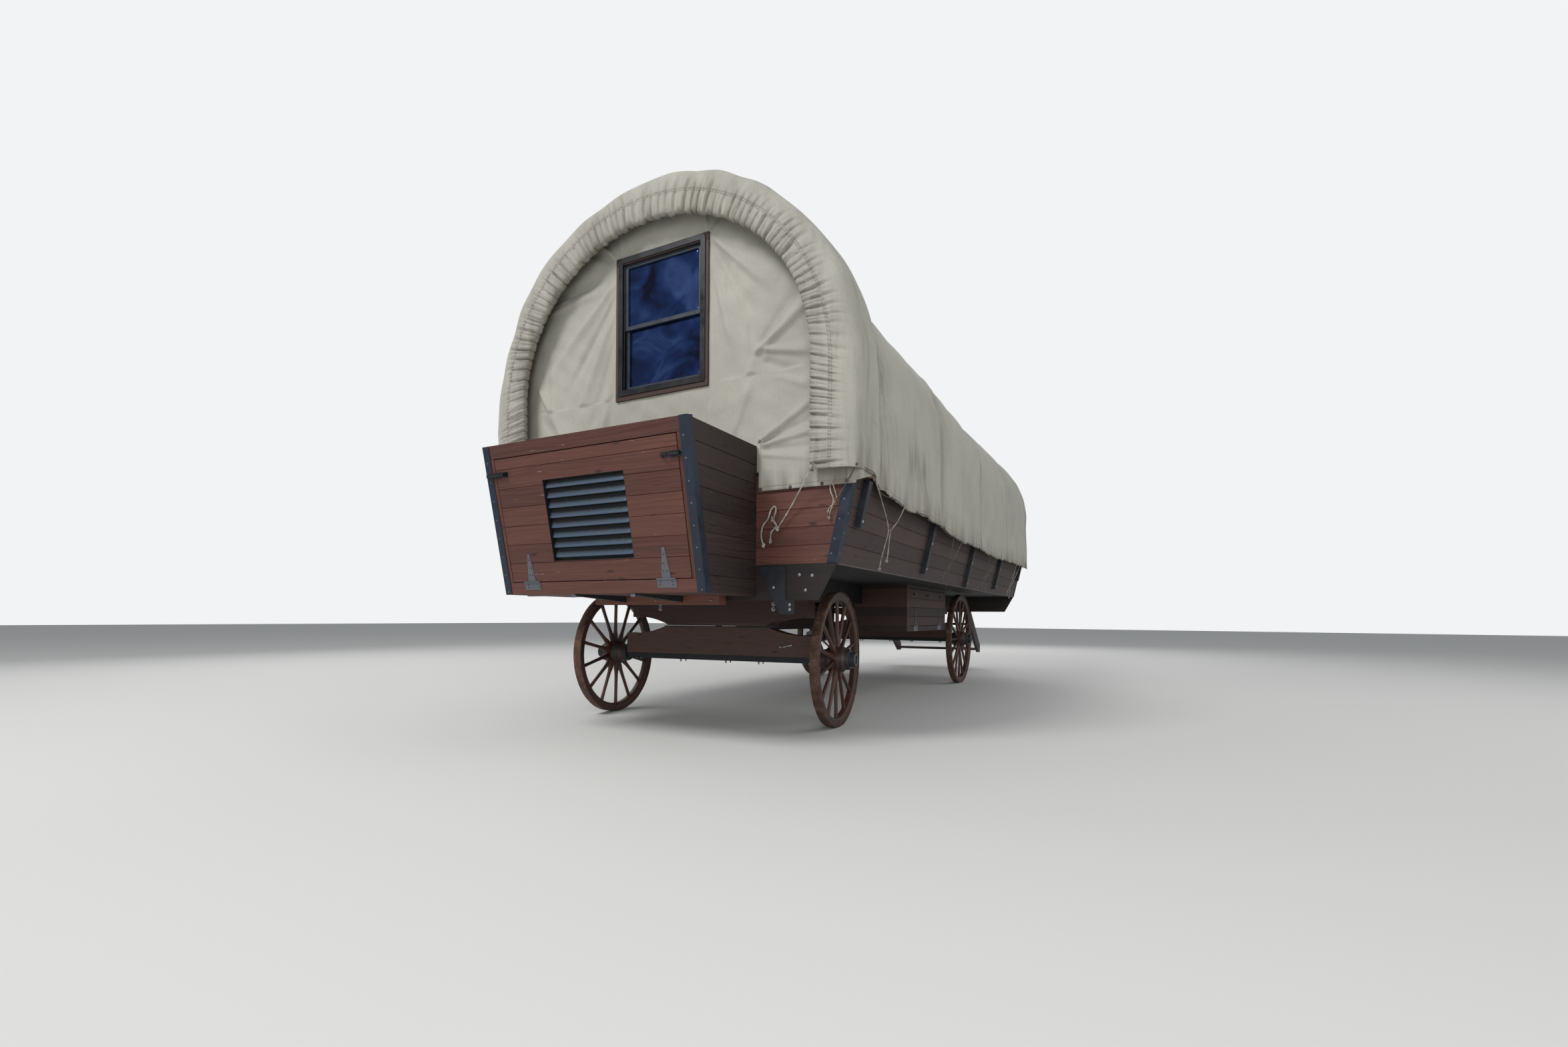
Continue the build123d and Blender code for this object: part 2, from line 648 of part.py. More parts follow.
def gusset():
    """Plate on the front header, on the right side only."""
    tail = GUSSET_OUTER + GUSSET_TAIL
    shape = outline(
        (GUSSET_INNER, GUSSET_HIGH), (GUSSET_OUTER, GUSSET_HIGH), (GUSSET_OUTER, HEADER_BOTTOM),
        (tail, HEADER_BOTTOM), (tail, GUSSET_FOOT), (tail - GUSSET_HEEL, GUSSET_FOOT),
    )
    return across(shape, -GUSSET - SEAT, -SEAT)


def chassis():
    """Two channel rails, open to the inside, with cross tubes between their webs."""
    rail = block(RAIL_X, RAIL_X + RAIL_WIDE, HEADER, BODY_LENGTH - HEADER, RAIL_BOTTOM, BODY_BOTTOM)
    hollow = block(RAIL_X - 1, RAIL_X + RAIL_WIDE - RAIL_STEEL, HEADER - 1, BODY_LENGTH,
                   RAIL_BOTTOM + RAIL_STEEL, BODY_BOTTOM - RAIL_STEEL)
    frame = (rail - hollow) + mirrored(rail - hollow)
    reach = RAIL_X + RAIL_WIDE - RAIL_STEEL
    for y in CROSS_TUBES:
        frame = frame + block(-reach, reach, y - CROSS_TUBE / 2, y + CROSS_TUBE / 2,
                              RAIL_BOTTOM + RAIL_STEEL, RAIL_BOTTOM + RAIL_STEEL + CROSS_TUBE)
    return frame


def lens_board(half, low, high, arched_low):
    """Bolster or axle board: one long edge arches away towards both ends."""
    rise = LENS_RISE
    if arched_low:
        edge = low + rise
        curve = ThreePointArc((LENS_X, low), ((LENS_X + half) / 2 - 60, low + rise * 0.72), (half, edge))
        lines = [Line((0, low), (LENS_X, low)), curve, Line((half, edge), (half, high)),
                 Line((half, high), (0, high)), Line((0, high), (0, low))]
    else:
        edge = high - rise
        curve = ThreePointArc((LENS_X, high), ((LENS_X + half) / 2 - 60, high - rise * 0.72), (half, edge))
        lines = [Line((0, high), (LENS_X, high)), curve, Line((half, edge), (half, low)),
                 Line((half, low), (0, low)), Line((0, low), (0, high))]
    right = make_face(Wire(lines))
    return right + mirror(right, about=Plane.YZ)


def bolster(y, low):
    shape = lens_board(BOLSTER_HALF, low, RAIL_BOTTOM, True)
    return across(shape, y - BOLSTER_DEEP / 2, y + BOLSTER_DEEP / 2)


def kingpin_bore(low, high, y):
    return Pos(0, y, (low + high) / 2) * Cylinder(KINGPIN + KINGPIN_CLEAR, high - low)


def front_bolster():
    solid = bolster(FRONT_AXLE, BOLSTER_LOW)
    plate = block(-LENS_X, LENS_X, FRONT_AXLE - BOLSTER_DEEP / 2, FRONT_AXLE + BOLSTER_DEEP / 2,
                  BOLSTER_LOW - PLATE, BOLSTER_LOW)
    return (solid + plate) - kingpin_bore(BOLSTER_LOW - PLATE - 1, RAIL_BOTTOM - 60, FRONT_AXLE)


BOARD_LOW_FRONT = FRONT_RADIUS - BEAM_DROP + BEAM_TALL
BOARD_HIGH_FRONT = BOLSTER_LOW - PLATE - TURN_GAP - PLATE
BOARD_LOW_REAR = REAR_RADIUS - BEAM_DROP + BEAM_TALL


def front_axle_board():
    return across(lens_board(AXLE_BOARD_HALF, BOARD_LOW_FRONT, BOARD_HIGH_FRONT, False),
                  FRONT_AXLE - BOLSTER_DEEP / 2, FRONT_AXLE + BOLSTER_DEEP / 2)


def turn_plate():
    plate = block(-LENS_X, LENS_X, FRONT_AXLE - BOLSTER_DEEP / 2, FRONT_AXLE + BOLSTER_DEEP / 2,
                  BOARD_HIGH_FRONT, BOARD_HIGH_FRONT + PLATE)
    high = RAIL_BOTTOM - 70
    pin = Pos(0, FRONT_AXLE, (BOARD_HIGH_FRONT + high) / 2) * Cylinder(KINGPIN, high - BOARD_HIGH_FRONT)
    return plate + pin


def axle_beam(y, radius):
    low = radius - BEAM_DROP
    half = AXLE_BOARD_HALF + 5
    beam = block(-half, half, y - BEAM_WIDE / 2, y + BEAM_WIDE / 2, low, low + BEAM_TALL)
    reach = TRACK_HALF + HUB_OUTER - 45
    spindle = Pos(0, y, radius) * Rot(0, 90, 0) * Cylinder(SPINDLE, 2 * reach)
    middle = block(-AXLE_BOARD_HALF, AXLE_BOARD_HALF, y - 60, y + 60, low + BEAM_TALL, radius + 60)
    return beam + (spindle - middle)


def rear_axle_board():
    high = BOLSTER_LOW + 70
    return across(lens_board(AXLE_BOARD_HALF, BOARD_LOW_REAR, high, False),
                  REAR_AXLE - BOLSTER_DEEP / 2, REAR_AXLE + BOLSTER_DEEP / 2)


def rear_bolster():
    return bolster(REAR_AXLE, BOLSTER_LOW + 70)


# A wheel is drawn with its axle along X and its centre at the origin
def tyre(radius):
    ring = Circle(radius) - Circle(radius - TYRE_THICK)
    return extrude(Plane.YZ.offset(-TYRE_WIDE / 2) * ring, amount=TYRE_WIDE)


def wheel_wood(radius, spokes):
    outer = radius - TYRE_THICK
    felloe = extrude(Plane.YZ.offset(-FELLOE_WIDE / 2) * (Circle(outer) - Circle(outer - FELLOE_THICK)),
                     amount=FELLOE_WIDE)
    inner = HUB_RADIUS - 2
    span = outer - FELLOE_THICK + 6 - inner
    spoke = Pos(0, 0, inner) * loft([
        Pos(0, 0, 0) * Rectangle(SPOKE_HUB, SPOKE_HUB * 0.8),
        Pos(0, 0, span) * Rectangle(SPOKE_RIM, SPOKE_RIM),
    ])
    wood = felloe
    for index in range(spokes):
        wood = wood + Rot(360 * index / spokes, 0, 0) * spoke
    return wood - Rot(0, 90, 0) * Cylinder(HUB_RADIUS + SEAT, 2 * FELLOE_WIDE)


def hub():
    """Turned hub with its bands, bored for the spindle; outer end on +X."""
    # x from the wheel's mid-plane, radius
    profile = [
        (-HUB_INNER, 74), (-HUB_INNER + 34, 80), (-70, 88), (-52, HUB_RADIUS), (52, HUB_RADIUS), (70, 90),
        (118, 78), (128, 62), (HUB_OUTER, 58),
    ]
    points = [(x, r) for x, r in profile] + [(HUB_OUTER, 0), (-HUB_INNER, 0)]
    body = revolve(make_face(Polyline(*points, close=True)), axis=Axis.X)
    deep = HUB_INNER + HUB_OUTER - 40
    bore = Pos(-HUB_INNER + deep / 2, 0, 0) * Rot(0, 90, 0) * Cylinder(SPINDLE + SPINDLE_CLEAR, deep)
    return body - bore


# name, side, axle place, radius, spokes, on the steered axle
WHEELS = (
    ("front_right", 1, FRONT_AXLE, FRONT_RADIUS, FRONT_SPOKES, True),
    ("front_left", -1, FRONT_AXLE, FRONT_RADIUS, FRONT_SPOKES, True),
    ("rear_right", 1, REAR_AXLE, REAR_RADIUS, REAR_SPOKES, False),
    ("rear_left", -1, REAR_AXLE, REAR_RADIUS, REAR_SPOKES, False),
)


def locker():
    shell = block(LOCKER_INNER, LOCKER_OUTER, LOCKER_FRONT, LOCKER_REAR, LOCKER_BOTTOM, BODY_BOTTOM)
    room = block(LOCKER_INNER + LOCKER_WALL, LOCKER_OUTER - LOCKER_WALL, LOCKER_FRONT + LOCKER_WALL,
                 LOCKER_REAR - LOCKER_WALL, LOCKER_BOTTOM + LOCKER_WALL, BODY_BOTTOM - LOCKER_WALL)
    door = block(LOCKER_OUTER - 2 * LOCKER_WALL, LOCKER_OUTER + SEAT,
                 LOCKER_DOOR_FRONT - DOOR_GAP, LOCKER_DOOR_REAR + DOOR_GAP,
                 LOCKER_DOOR_LOW - DOOR_GAP, LOCKER_DOOR_HIGH + DOOR_GAP)
    rail = block(0, RAIL_X + RAIL_WIDE + SEAT, 0, BODY_LENGTH, RAIL_BOTTOM - SEAT, FAR)
    return shell - room - door - rail


def locker_door():
    rows = 4
    tall = LOCKER_DOOR_HIGH - LOCKER_DOOR_LOW
    section = board_edge(tall, rows, tall / rows, LOCKER_WALL)
    corner = (LOCKER_OUTER, LOCKER_DOOR_REAR, LOCKER_DOOR_LOW)
    plane = Plane(origin=corner, x_dir=(0, 0, 1), z_dir=(0, -1, 0))
    return extrude(plane * mirror(section, about=Plane.XZ), amount=LOCKER_DOOR_REAR - LOCKER_DOOR_FRONT)


def rear_panel():
    front = PANEL_SETBACK
    return to_rear(across(panel_outline(REAR_CROWN) - door_hole(DOOR_GAP), front, front + PANEL))


def rear_wall():
    return to_rear(end_wall() - across(door_hole(DOOR_GAP), -WALL, 2 * WALL))


def canvas_rear():
    y = PANEL_SETBACK - SHEET - SEAT
    upper = across(panel_outline(REAR_CROWN) - door_hole(DOOR_TRIM), y, y + SHEET)
    way = across(door_hole(DOOR_TRIM), -PANEL_SETBACK, PANEL_SETBACK)
    return to_rear((upper + canvas_apron()) - way)


def door_frame():
    """Posts and head of the doorway, from the plank wall's face back to the panel."""
    above = Pos(0, SILL_TOP + SHEET_SHELF + FAR / 2) * Rectangle(FAR, FAR)
    ring = (door_hole(DOOR_TRIM - SEAT) - door_hole(DOOR_GAP)) & above
    return to_rear(across(ring, -SEAT, PANEL_SETBACK - SEAT))


def cabin_door():
    tall = DOOR_HEAD - DOOR_SILL
    leaf = Pos(0, (DOOR_HEAD + DOOR_SILL) / 2) * Rectangle(2 * DOOR_HALF, tall)
    return to_rear(across(leaf, -SEAT, -SEAT + DOOR_LEAF))


def rear_steps():
    """Two stringers with open treads, hung from the rear header."""
    drop = STEP_TOP / (STEP_COUNT + 0.6)
    treads = []
    for index in range(STEP_COUNT):
        y = BODY_LENGTH + STEP_GAP + index * STEP_GO
        z = STEP_TOP - index * drop
        half = STEP_HALF - STEP_STRINGER
        treads.append(block(-half, half, y, y + STEP_GO, z - STEP_TREAD, z))
    back = BODY_LENGTH + STEP_REACH
    foot = STEP_TOP - (STEP_COUNT - 1) * drop - STEP_TREAD - STEP_BELOW
    side = along(
        outline(
            (BODY_LENGTH + SEAT, STEP_TOP + STEP_RIM), (BODY_LENGTH + 2 * STEP_BELOW, STEP_TOP + STEP_RIM),
            (back, foot + STEP_BOARD), (back, foot), (back - STEP_BOARD, foot),
            (BODY_LENGTH + SEAT, STEP_TOP - STEP_BOARD - STEP_BELOW),
        ),
        STEP_HALF - STEP_STRINGER, STEP_HALF)
    steps = side + mirrored(side)
    for tread in treads:
        steps = steps + tread
    return steps


def build():
    save("floor_deck", floor_deck())
    save("side_walls", both(side_wall()))
    save("end_walls", group([end_wall(), rear_wall()]))
    save("end_sills", group([end_sill(), to_rear(end_sill() - across(door_hole(DOOR_GAP), 0, FAR))]))
    save("end_panels", group([front_panel(), rear_panel()]))
    save("corner_irons", group([both(corner_iron()), to_rear(both(corner_iron()))]))
    save("stakes", stakes())
    save("bows", bows())
    save("canvas_cover", cover())
    save("canvas_end_sheets", group([canvas_front(), canvas_rear()]))
    save("window_trim", window_frame())
    save("window_sash", window_sash())
    save("window_glass", window_glass())
    save("nose_box_sides", nose_sides())
    save("nose_box_boards", nose_boards())
    save("nose_box_face", nose_face())
    save("nose_box_irons", nose_irons())
    save("nose_door", nose_door())
    save("nose_louvre", nose_louvre())
    save("end_headers", group([front_header(), to_rear(header())]))
    save("nose_ledger", ledger())
    save("nose_box_arms", nose_arms())
    save("header_gusset", gusset())
    save("chassis_frame", chassis())
    save("bolsters", group([front_bolster(), rear_bolster()]))
    save("rear_axle_board", rear_axle_board())
    save("rear_axle_beam", axle_beam(REAR_AXLE, REAR_RADIUS))
    save("front_axle_board", steered(front_axle_board()))
    save("front_turn_plate", steered(turn_plate()))
    save("front_axle_beam", steered(axle_beam(FRONT_AXLE, FRONT_RADIUS)))
    for name, side, axle, radius, spokes, turns in WHEELS:
        pieces = {"tyre": tyre(radius), "wheel": wheel_wood(radius, spokes), "hub": hub()}
        for part, shape in pieces.items():
            if side < 0:
                shape = mirrored(shape)
            placed = Pos(side * TRACK_HALF, axle, radius) * shape
            save(f"{part}_{name}", steered(placed) if turns else placed)
    save("lockers", both(locker()))
    save("locker_door_right", locker_door())
    save("locker_door_left", mirrored(locker_door()))
    save("door_frame", door_frame())
    save("cabin_door", cabin_door())
    save("rear_steps", rear_steps())
    locker_plates = both(hinges(locker_hinge_places(), hinge_plate()))
    nose_plates = hinges(nose_hinge_places(), hinge_plate())
    save("hinge_plates", group([nose_plates, locker_plates, hinges(door_hinge_places(), hinge_plate())]))
    save("nose_door_straps", hinges(nose_hinge_places(), hinge_strap()))
    save("locker_straps_right", hinges(locker_hinge_places(), hinge_strap()))
    save("locker_straps_left", mirrored(hinges(locker_hinge_places(), hinge_strap())))
    save("cabin_door_straps", hinges(door_hinge_places(), hinge_strap()))


build()
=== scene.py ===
import functools
import math
import random

import bmesh
import bpy
import numpy as np
from mathutils import Matrix, Vector
from mathutils.bvhtree import BVHTree


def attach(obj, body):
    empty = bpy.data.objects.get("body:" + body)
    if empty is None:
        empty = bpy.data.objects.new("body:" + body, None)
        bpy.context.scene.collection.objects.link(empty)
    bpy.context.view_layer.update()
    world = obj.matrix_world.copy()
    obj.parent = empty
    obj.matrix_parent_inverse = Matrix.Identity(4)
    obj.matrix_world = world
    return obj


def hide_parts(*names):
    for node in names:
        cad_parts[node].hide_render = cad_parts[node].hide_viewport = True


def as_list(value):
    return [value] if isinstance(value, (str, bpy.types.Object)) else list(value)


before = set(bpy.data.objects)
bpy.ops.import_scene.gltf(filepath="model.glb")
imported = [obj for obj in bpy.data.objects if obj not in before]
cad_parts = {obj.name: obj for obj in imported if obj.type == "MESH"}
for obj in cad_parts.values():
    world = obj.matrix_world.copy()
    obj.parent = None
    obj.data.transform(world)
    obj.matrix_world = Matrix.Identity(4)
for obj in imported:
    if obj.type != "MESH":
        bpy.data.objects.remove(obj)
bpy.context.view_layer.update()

# Places are written in metres with y counted from the outer face of the front end wall
FRONT = -3.829551
SIDES = (("right", 1), ("left", -1))
FRONT_AXLE, REAR_AXLE = 0.893, 5.388
WHEELS = (
    # name, side, axle's y, radius, spokes, turned with the front axle
    ("front_right", 1, FRONT_AXLE, 0.560, 14, True),
    ("front_left", -1, FRONT_AXLE, 0.560, 14, True),
    ("rear_right", 1, REAR_AXLE, 0.622, 16, False),
    ("rear_left", -1, REAR_AXLE, 0.622, 16, False),
)
TRACK_HALF = 1.110
STEERED = math.radians(5.3)
BODY_HALF, BODY_BOTTOM, FLARE = 1.518, 1.275, 0.2226
BODY_LENGTH = 7.510
PLANK_RISE = 0.129 * math.cos(math.atan(FLARE))
RAKE_FOOT = Vector((0, -0.628, 1.058))
RAKE_UP = (Vector((0, -0.846, 2.120)) - RAKE_FOOT).normalized()
RAKE_OUT = Vector((1, 0, 0)).cross(RAKE_UP)


def linear(hex_colour):
    """sRGB hex to the linear values that a shader takes."""
    channels = [int(hex_colour[i:i + 2], 16) / 255 for i in (1, 3, 5)]
    return tuple(c / 12.92 if c <= 0.04045 else ((c + 0.055) / 1.055) ** 2.4 for c in channels) + (1.0,)


def add(tree, kind, links=None, out=0, stops=None, **settings):
    """Adds a node, its kind without the family's name. Each link is a socket to join or a value to set, by
    the input's name or number."""
    families = ("ShaderNode", "GeometryNode", "FunctionNode", "")
    node = tree.nodes.new(next(start + kind for start in families if hasattr(bpy.types, start + kind)))
    for key, value in settings.items():
        setattr(node, key, value)
    for key, value in (links or {}).items():
        if isinstance(value, bpy.types.NodeSocket):
            tree.links.new(value, node.inputs[key])
        else:
            node.inputs[key].default_value = value
    for index, (at, colour) in enumerate(stops or ()):
        elements = node.color_ramp.elements
        element = elements[index] if index < 2 else elements.new(at)
        element.position = at
        element.color = linear(colour)
    return node if out is None else node.outputs[out]


def fresh(name, **sockets):
    """A new material: what adds a node to it, and what joins the last nodes to its shader and gives the
    material back. What is the same all over is set on the shader's own sockets."""
    material = bpy.data.materials.new(name)
    material.use_nodes = True
    tree = material.node_tree
    tree.nodes.clear()
    put = functools.partial(add, tree)
    shader = put("BsdfPrincipled", out=None)
    put("OutputMaterial", {"Surface": shader.outputs[0]}, out=None)
    for key, value in sockets.items():
        shader.inputs[key.replace("_", " ")].default_value = value

    def finish(colour, rough, height, strength, distance):
        bump = put("Bump", {"Height": height, "Strength": strength, "Distance": distance})
        for socket, key in ((colour, "Base Color"), (rough, "Roughness"), (bump, "Normal")):
            tree.links.new(socket, shader.inputs[key])
        return material

    return put, finish


def timber(name, dark, mid, light, rough=(0.5, 0.75), lay=None, knots=0.42, scuff=None, tone=0.22, under=None):
    """Sawn or planed softwood. lay is the grain's axis, the axis the boards are stacked along, their
    pitch and the first board's start; without it the piece carries its own grain and board numbers."""
    put, finish = fresh(name)
    if lay:
        grain, stack, pitch, start = lay
        place = put("TexCoord", out="Object")
        xyz = put("SeparateXYZ", {0: place}, out=None)
        along, across = xyz.outputs[grain], xyz.outputs[stack]
        deep = xyz.outputs[next(axis for axis in "XYZ" if axis not in (grain, stack))]
        row = put("Math", {0: across, 1: start}, operation="SUBTRACT")
        row = put("Math", {0: row, 1: pitch}, operation="DIVIDE")
        number = put("Math", {0: row}, operation="FLOOR")
    else:
        own = put("Attribute", out="Vector", attribute_name="grain")
        xyz = put("SeparateXYZ", {0: own}, out=None)
        along, across, deep = xyz.outputs[0], xyz.outputs[1], xyz.outputs[2]
        number = put("Attribute", out="Fac", attribute_name="board")
    luck = put("TexWhiteNoise", {"W": number}, noise_dimensions="1D")
    shift = put("Math", {0: luck, 1: 37.0}, operation="MULTIPLY")
    far = put("Math", {0: along, 1: shift}, operation="ADD")
    at = put("CombineXYZ", {0: far, 1: across, 2: deep})
    # wander of the grain over about a metre of board
    slow = put("VectorMath", {0: at, 1: (1.3, 6.0, 6.0)}, operation="MULTIPLY")
    wander = put("TexNoise", {"Vector": slow, "Scale": 1.0, "Detail": 3.0})
    # growth rings 6 to 12 mm apart on a flat-sawn face
    bend = put("Math", {0: wander, 1: 0.11}, operation="MULTIPLY")
    crossed = put("Math", {0: across, 1: bend}, operation="ADD")
    ringed = put("CombineXYZ", {0: far, 1: crossed, 2: deep})
    rings_at = put("VectorMath", {0: ringed, 1: (0.9, 95.0, 60.0)}, operation="MULTIPLY")
    rings = put("TexNoise", {"Vector": rings_at, "Scale": 1.0, "Detail": 2.0, "Roughness": 0.6})
    # fibres, drawn at 2.5 mm because the real ones are too fine to show
    fibres_at = put("VectorMath", {0: ringed, 1: (7.0, 400.0, 400.0)}, operation="MULTIPLY")
    fibres = put("TexNoise", {"Vector": fibres_at, "Scale": 1.0, "Detail": 3.0})
    # knots 15 to 35 mm across, a few in each board
    knots_at = put("VectorMath", {0: ringed, 1: (2.2, 9.0, 0.0)}, operation="MULTIPLY")
    cell = put("TexVoronoi", {"Vector": knots_at, "Scale": 1.0}, out=None, voronoi_dimensions="2D")
    some = put("SeparateColor", {0: cell.outputs["Color"]})
    few = put("Math", {0: some, 1: 1.0 - knots}, operation="LESS_THAN")
    spot = put("Math", {0: cell.outputs["Distance"], 1: few}, operation="ADD")
    knot = put("MapRange", {0: spot, 1: 0.03, 2: 0.10, 3: 0.85, 4: 0.0})
    streak = put("Math", {0: rings, 1: 0.62}, operation="MULTIPLY")
    streak = put("Math", {0: fibres, 1: 0.38, 2: streak}, operation="MULTIPLY_ADD")
    board = put("MapRange", {0: luck, 3: -tone, 4: tone})
    tinted = put("Math", {0: streak, 1: board}, operation="ADD")
    colour = put("ValToRGB", {0: tinted}, stops=((0.14, dark), (0.5, mid), (0.88, light)))
    surface = put("Mix", {0: knot, 6: colour, 7: linear(dark)}, out=2, data_type="RGBA")
    low, high = rough
    sheen = put("MapRange", {0: streak, 1: 0.3, 2: 0.7, 3: low, 4: high})
    if scuff:
        worn_at = put("VectorMath", {0: at, 1: (5.0, 38.0, 38.0)}, operation="MULTIPLY")
        worn = put("TexNoise", {"Vector": worn_at, "Scale": 1.0, "Detail": 6.0, "Roughness": 0.7})
        marks = put("MapRange", {0: worn, 1: 0.66, 2: 0.74})
        surface = put("Mix", {0: marks, 6: surface, 7: linear(scuff)}, out=2, data_type="RGBA")
    if under:
        # darker below this height: black paint, and painted shade under the floor
        level, paint = under
        below = put("Math", {0: xyz.outputs["Z"], 1: level}, operation="LESS_THAN")
        surface = put("Mix", {0: below, 6: surface, 7: linear(paint)}, out=2, data_type="RGBA")
    relief = put("Math", {0: knot, 1: -0.5, 2: streak}, operation="MULTIPLY_ADD")
    return finish(surface, sheen, relief, 0.45, 0.0015)


def painted_steel(name, paint, scratch, rough=0.42, metallic=0.0):
    """Brushed-on paint over steel: a faint texture and small worn spots give it age."""
    put, finish = fresh(name, Metallic=metallic)
    at = put("TexCoord", out="Object")
    orange = put("TexNoise", {"Vector": at, "Scale": 140.0, "Detail": 2.0})
    patch = put("TexNoise", {"Vector": at, "Scale": 9.0, "Detail": 5.0, "Roughness": 0.65})
    chip = put("MapRange", {0: patch, 1: 0.70, 2: 0.73})
    fade = put("MapRange", {0: patch, 1: 0.3, 2: 0.7, 3: 0.0, 4: 0.45})
    faded = put("Mix", {0: fade, 6: linear(paint), 7: linear(scratch)}, out=2, data_type="RGBA")
    colour = put("Mix", {0: chip, 6: faded, 7: linear(scratch)}, out=2, data_type="RGBA")
    gloss = put("MapRange", {0: patch, 1: 0.3, 2: 0.7, 3: rough - 0.08, 4: rough + 0.18})
    return finish(colour, gloss, orange, 0.12, 0.0006)


def pressed_slats(name, shade, enamel):
    """Enamelled slats: each is dull and darkened by painted shade under the one above, and clean blue-grey at its lip.
    """
    put, finish = fresh(name)
    down = put("Attribute", out="Fac", attribute_name="down")
    at = put("TexCoord", out="Object")
    slat_noise = put("TexNoise", {"Vector": at, "Scale": 30.0, "Detail": 5.0})
    # each slat's part under the one above is painted shade; noise makes the edge uneven
    uneven = put("Math", {0: slat_noise, 1: 0.24, 2: down}, operation="MULTIPLY_ADD")
    lip = put("MapRange", {0: uneven, 1: 0.52, 2: 0.98})
    colour = put("Mix", {0: lip, 6: linear(shade), 7: linear(enamel)}, out=2, data_type="RGBA")
    rough = put("MapRange", {0: lip, 3: 0.7, 4: 0.36})
    return finish(colour, rough, slat_noise, 0.1, 0.0008)


def rusty_steel(name, dark, rust, pale):
    """Hot-rolled tyre steel, rusted brown, its tread rubbed by gravel."""
    put, finish = fresh(name, Metallic=0.35)
    at = put("TexCoord", out="Object")
    bloom = put("TexNoise", {"Vector": at, "Scale": 14.0, "Detail": 8.0, "Roughness": 0.7})
    grit = put("TexNoise", {"Vector": at, "Scale": 210.0, "Detail": 3.0})
    colour = put("ValToRGB", {0: bloom}, stops=((0.30, dark), (0.55, rust), (0.78, pale)))
    speck = put("MapRange", {0: grit, 1: 0.62, 2: 0.70, 3: 0.0, 4: 0.7})
    dotted = put("Mix", {0: speck, 6: colour, 7: linear(pale)}, out=2, data_type="RGBA")
    gloss = put("MapRange", {0: bloom, 1: 0.3, 2: 0.7, 3: 0.55, 4: 0.85})
    return finish(dotted, gloss, grit, 0.5, 0.0010)


def cotton_duck(name, cloth, shade, stain, grime_and_shade):
    """Heavy proofed cotton: a plain weave drawn at 5 mm because its 0.8 mm threads are too fine to show,
    with the grey bloom and water marks of a cover that stays out all year. Its pieces carry how far a point is from a
    sewn seam, and how much soiling and painted shade darken it."""
    put, finish = fresh(name, Sheen_Weight=0.10, Sheen_Roughness=0.6, Specular_IOR_Level=0.22)
    weave_at = put("UVMap", uv_map="cloth")
    at = put("TexCoord", out="Object")
    seam = put("Attribute", out="Fac", attribute_name="seam")
    dirt_and_shade = put("Attribute", out="Fac", attribute_name="grime_and_shade")
    xyz = put("SeparateXYZ", {0: weave_at}, out=None)
    threads = []
    for axis in (0, 1):
        turns = put("Math", {0: xyz.outputs[axis], 1: math.tau / 0.005}, operation="MULTIPLY")
        threads.append(put("Math", {0: turns}, operation="SINE"))
    weave = put("Math", {0: threads[0], 1: threads[1]}, operation="MULTIPLY")
    bloom = put("TexNoise", {"Vector": at, "Scale": 1.7, "Detail": 6.0, "Roughness": 0.62})
    run_at = put("VectorMath", {0: at, 1: (9.0, 9.0, 1.2)}, operation="MULTIPLY")
    runs = put("TexNoise", {"Vector": run_at, "Scale": 1.0, "Detail": 5.0, "Roughness": 0.6})
    fine = put("TexNoise", {"Vector": at, "Scale": 60.0, "Detail": 3.0})
    crumple = put("TexNoise", {"Vector": at, "Scale": 16.0, "Detail": 3.0, "Roughness": 0.55})
    grey = put("MapRange", {0: bloom, 1: 0.35, 2: 0.68, 3: 0.0, 4: 0.8})
    base = put("Mix", {0: grey, 6: linear(cloth), 7: linear(shade)}, out=2, data_type="RGBA")
    mark = put("MapRange", {0: runs, 1: 0.58, 2: 0.80, 3: 0.0, 4: 0.5})
    marked = put("Mix", {0: mark, 6: base, 7: linear(stain)}, out=2, data_type="RGBA")
    # drip-streaked darkening from the cloth's own field: soiling, and painted shade in folds and pleats
    drip = put("MapRange", {0: runs, 1: 0.38, 2: 0.62})
    dirt_and_shade_mask = put("Math", {0: drip, 1: dirt_and_shade}, operation="MULTIPLY")
    with_dirt_and_shade = put("Mix", {0: dirt_and_shade_mask, 6: marked, 7: linear(grime_and_shade)}, out=2, data_type="RGBA")
    mottle = put("MapRange", {0: fine, 1: 0.35, 2: 0.65, 3: 0.0, 4: 0.14})
    specked = put("Mix", {0: mottle, 6: with_dirt_and_shade, 7: linear(stain)}, out=2, data_type="RGBA")
    # a felled seam shows as a 2 mm dark line with a soft grey band of doubled cloth beside it
    line = put("MapRange", {0: seam, 1: 0.0010, 2: 0.0030, 3: 0.20, 4: 0.0})
    colour = put("Mix", {0: line, 6: specked, 7: linear("#4f4c46")}, out=2, data_type="RGBA")
    rough = put("MapRange", {0: bloom, 1: 0.3, 2: 0.7, 3: 0.78, 4: 0.92})
    step = put("MapRange", {0: seam, 1: 0.0, 2: 0.006, 3: -0.8, 4: 0.0})
    relief = put("Math", {0: weave, 1: 0.12, 2: step}, operation="MULTIPLY_ADD")
    relief = put("Math", {0: crumple, 1: 2.2, 2: relief}, operation="MULTIPLY_ADD")
    return finish(colour, rough, relief, 0.35, 0.0022)


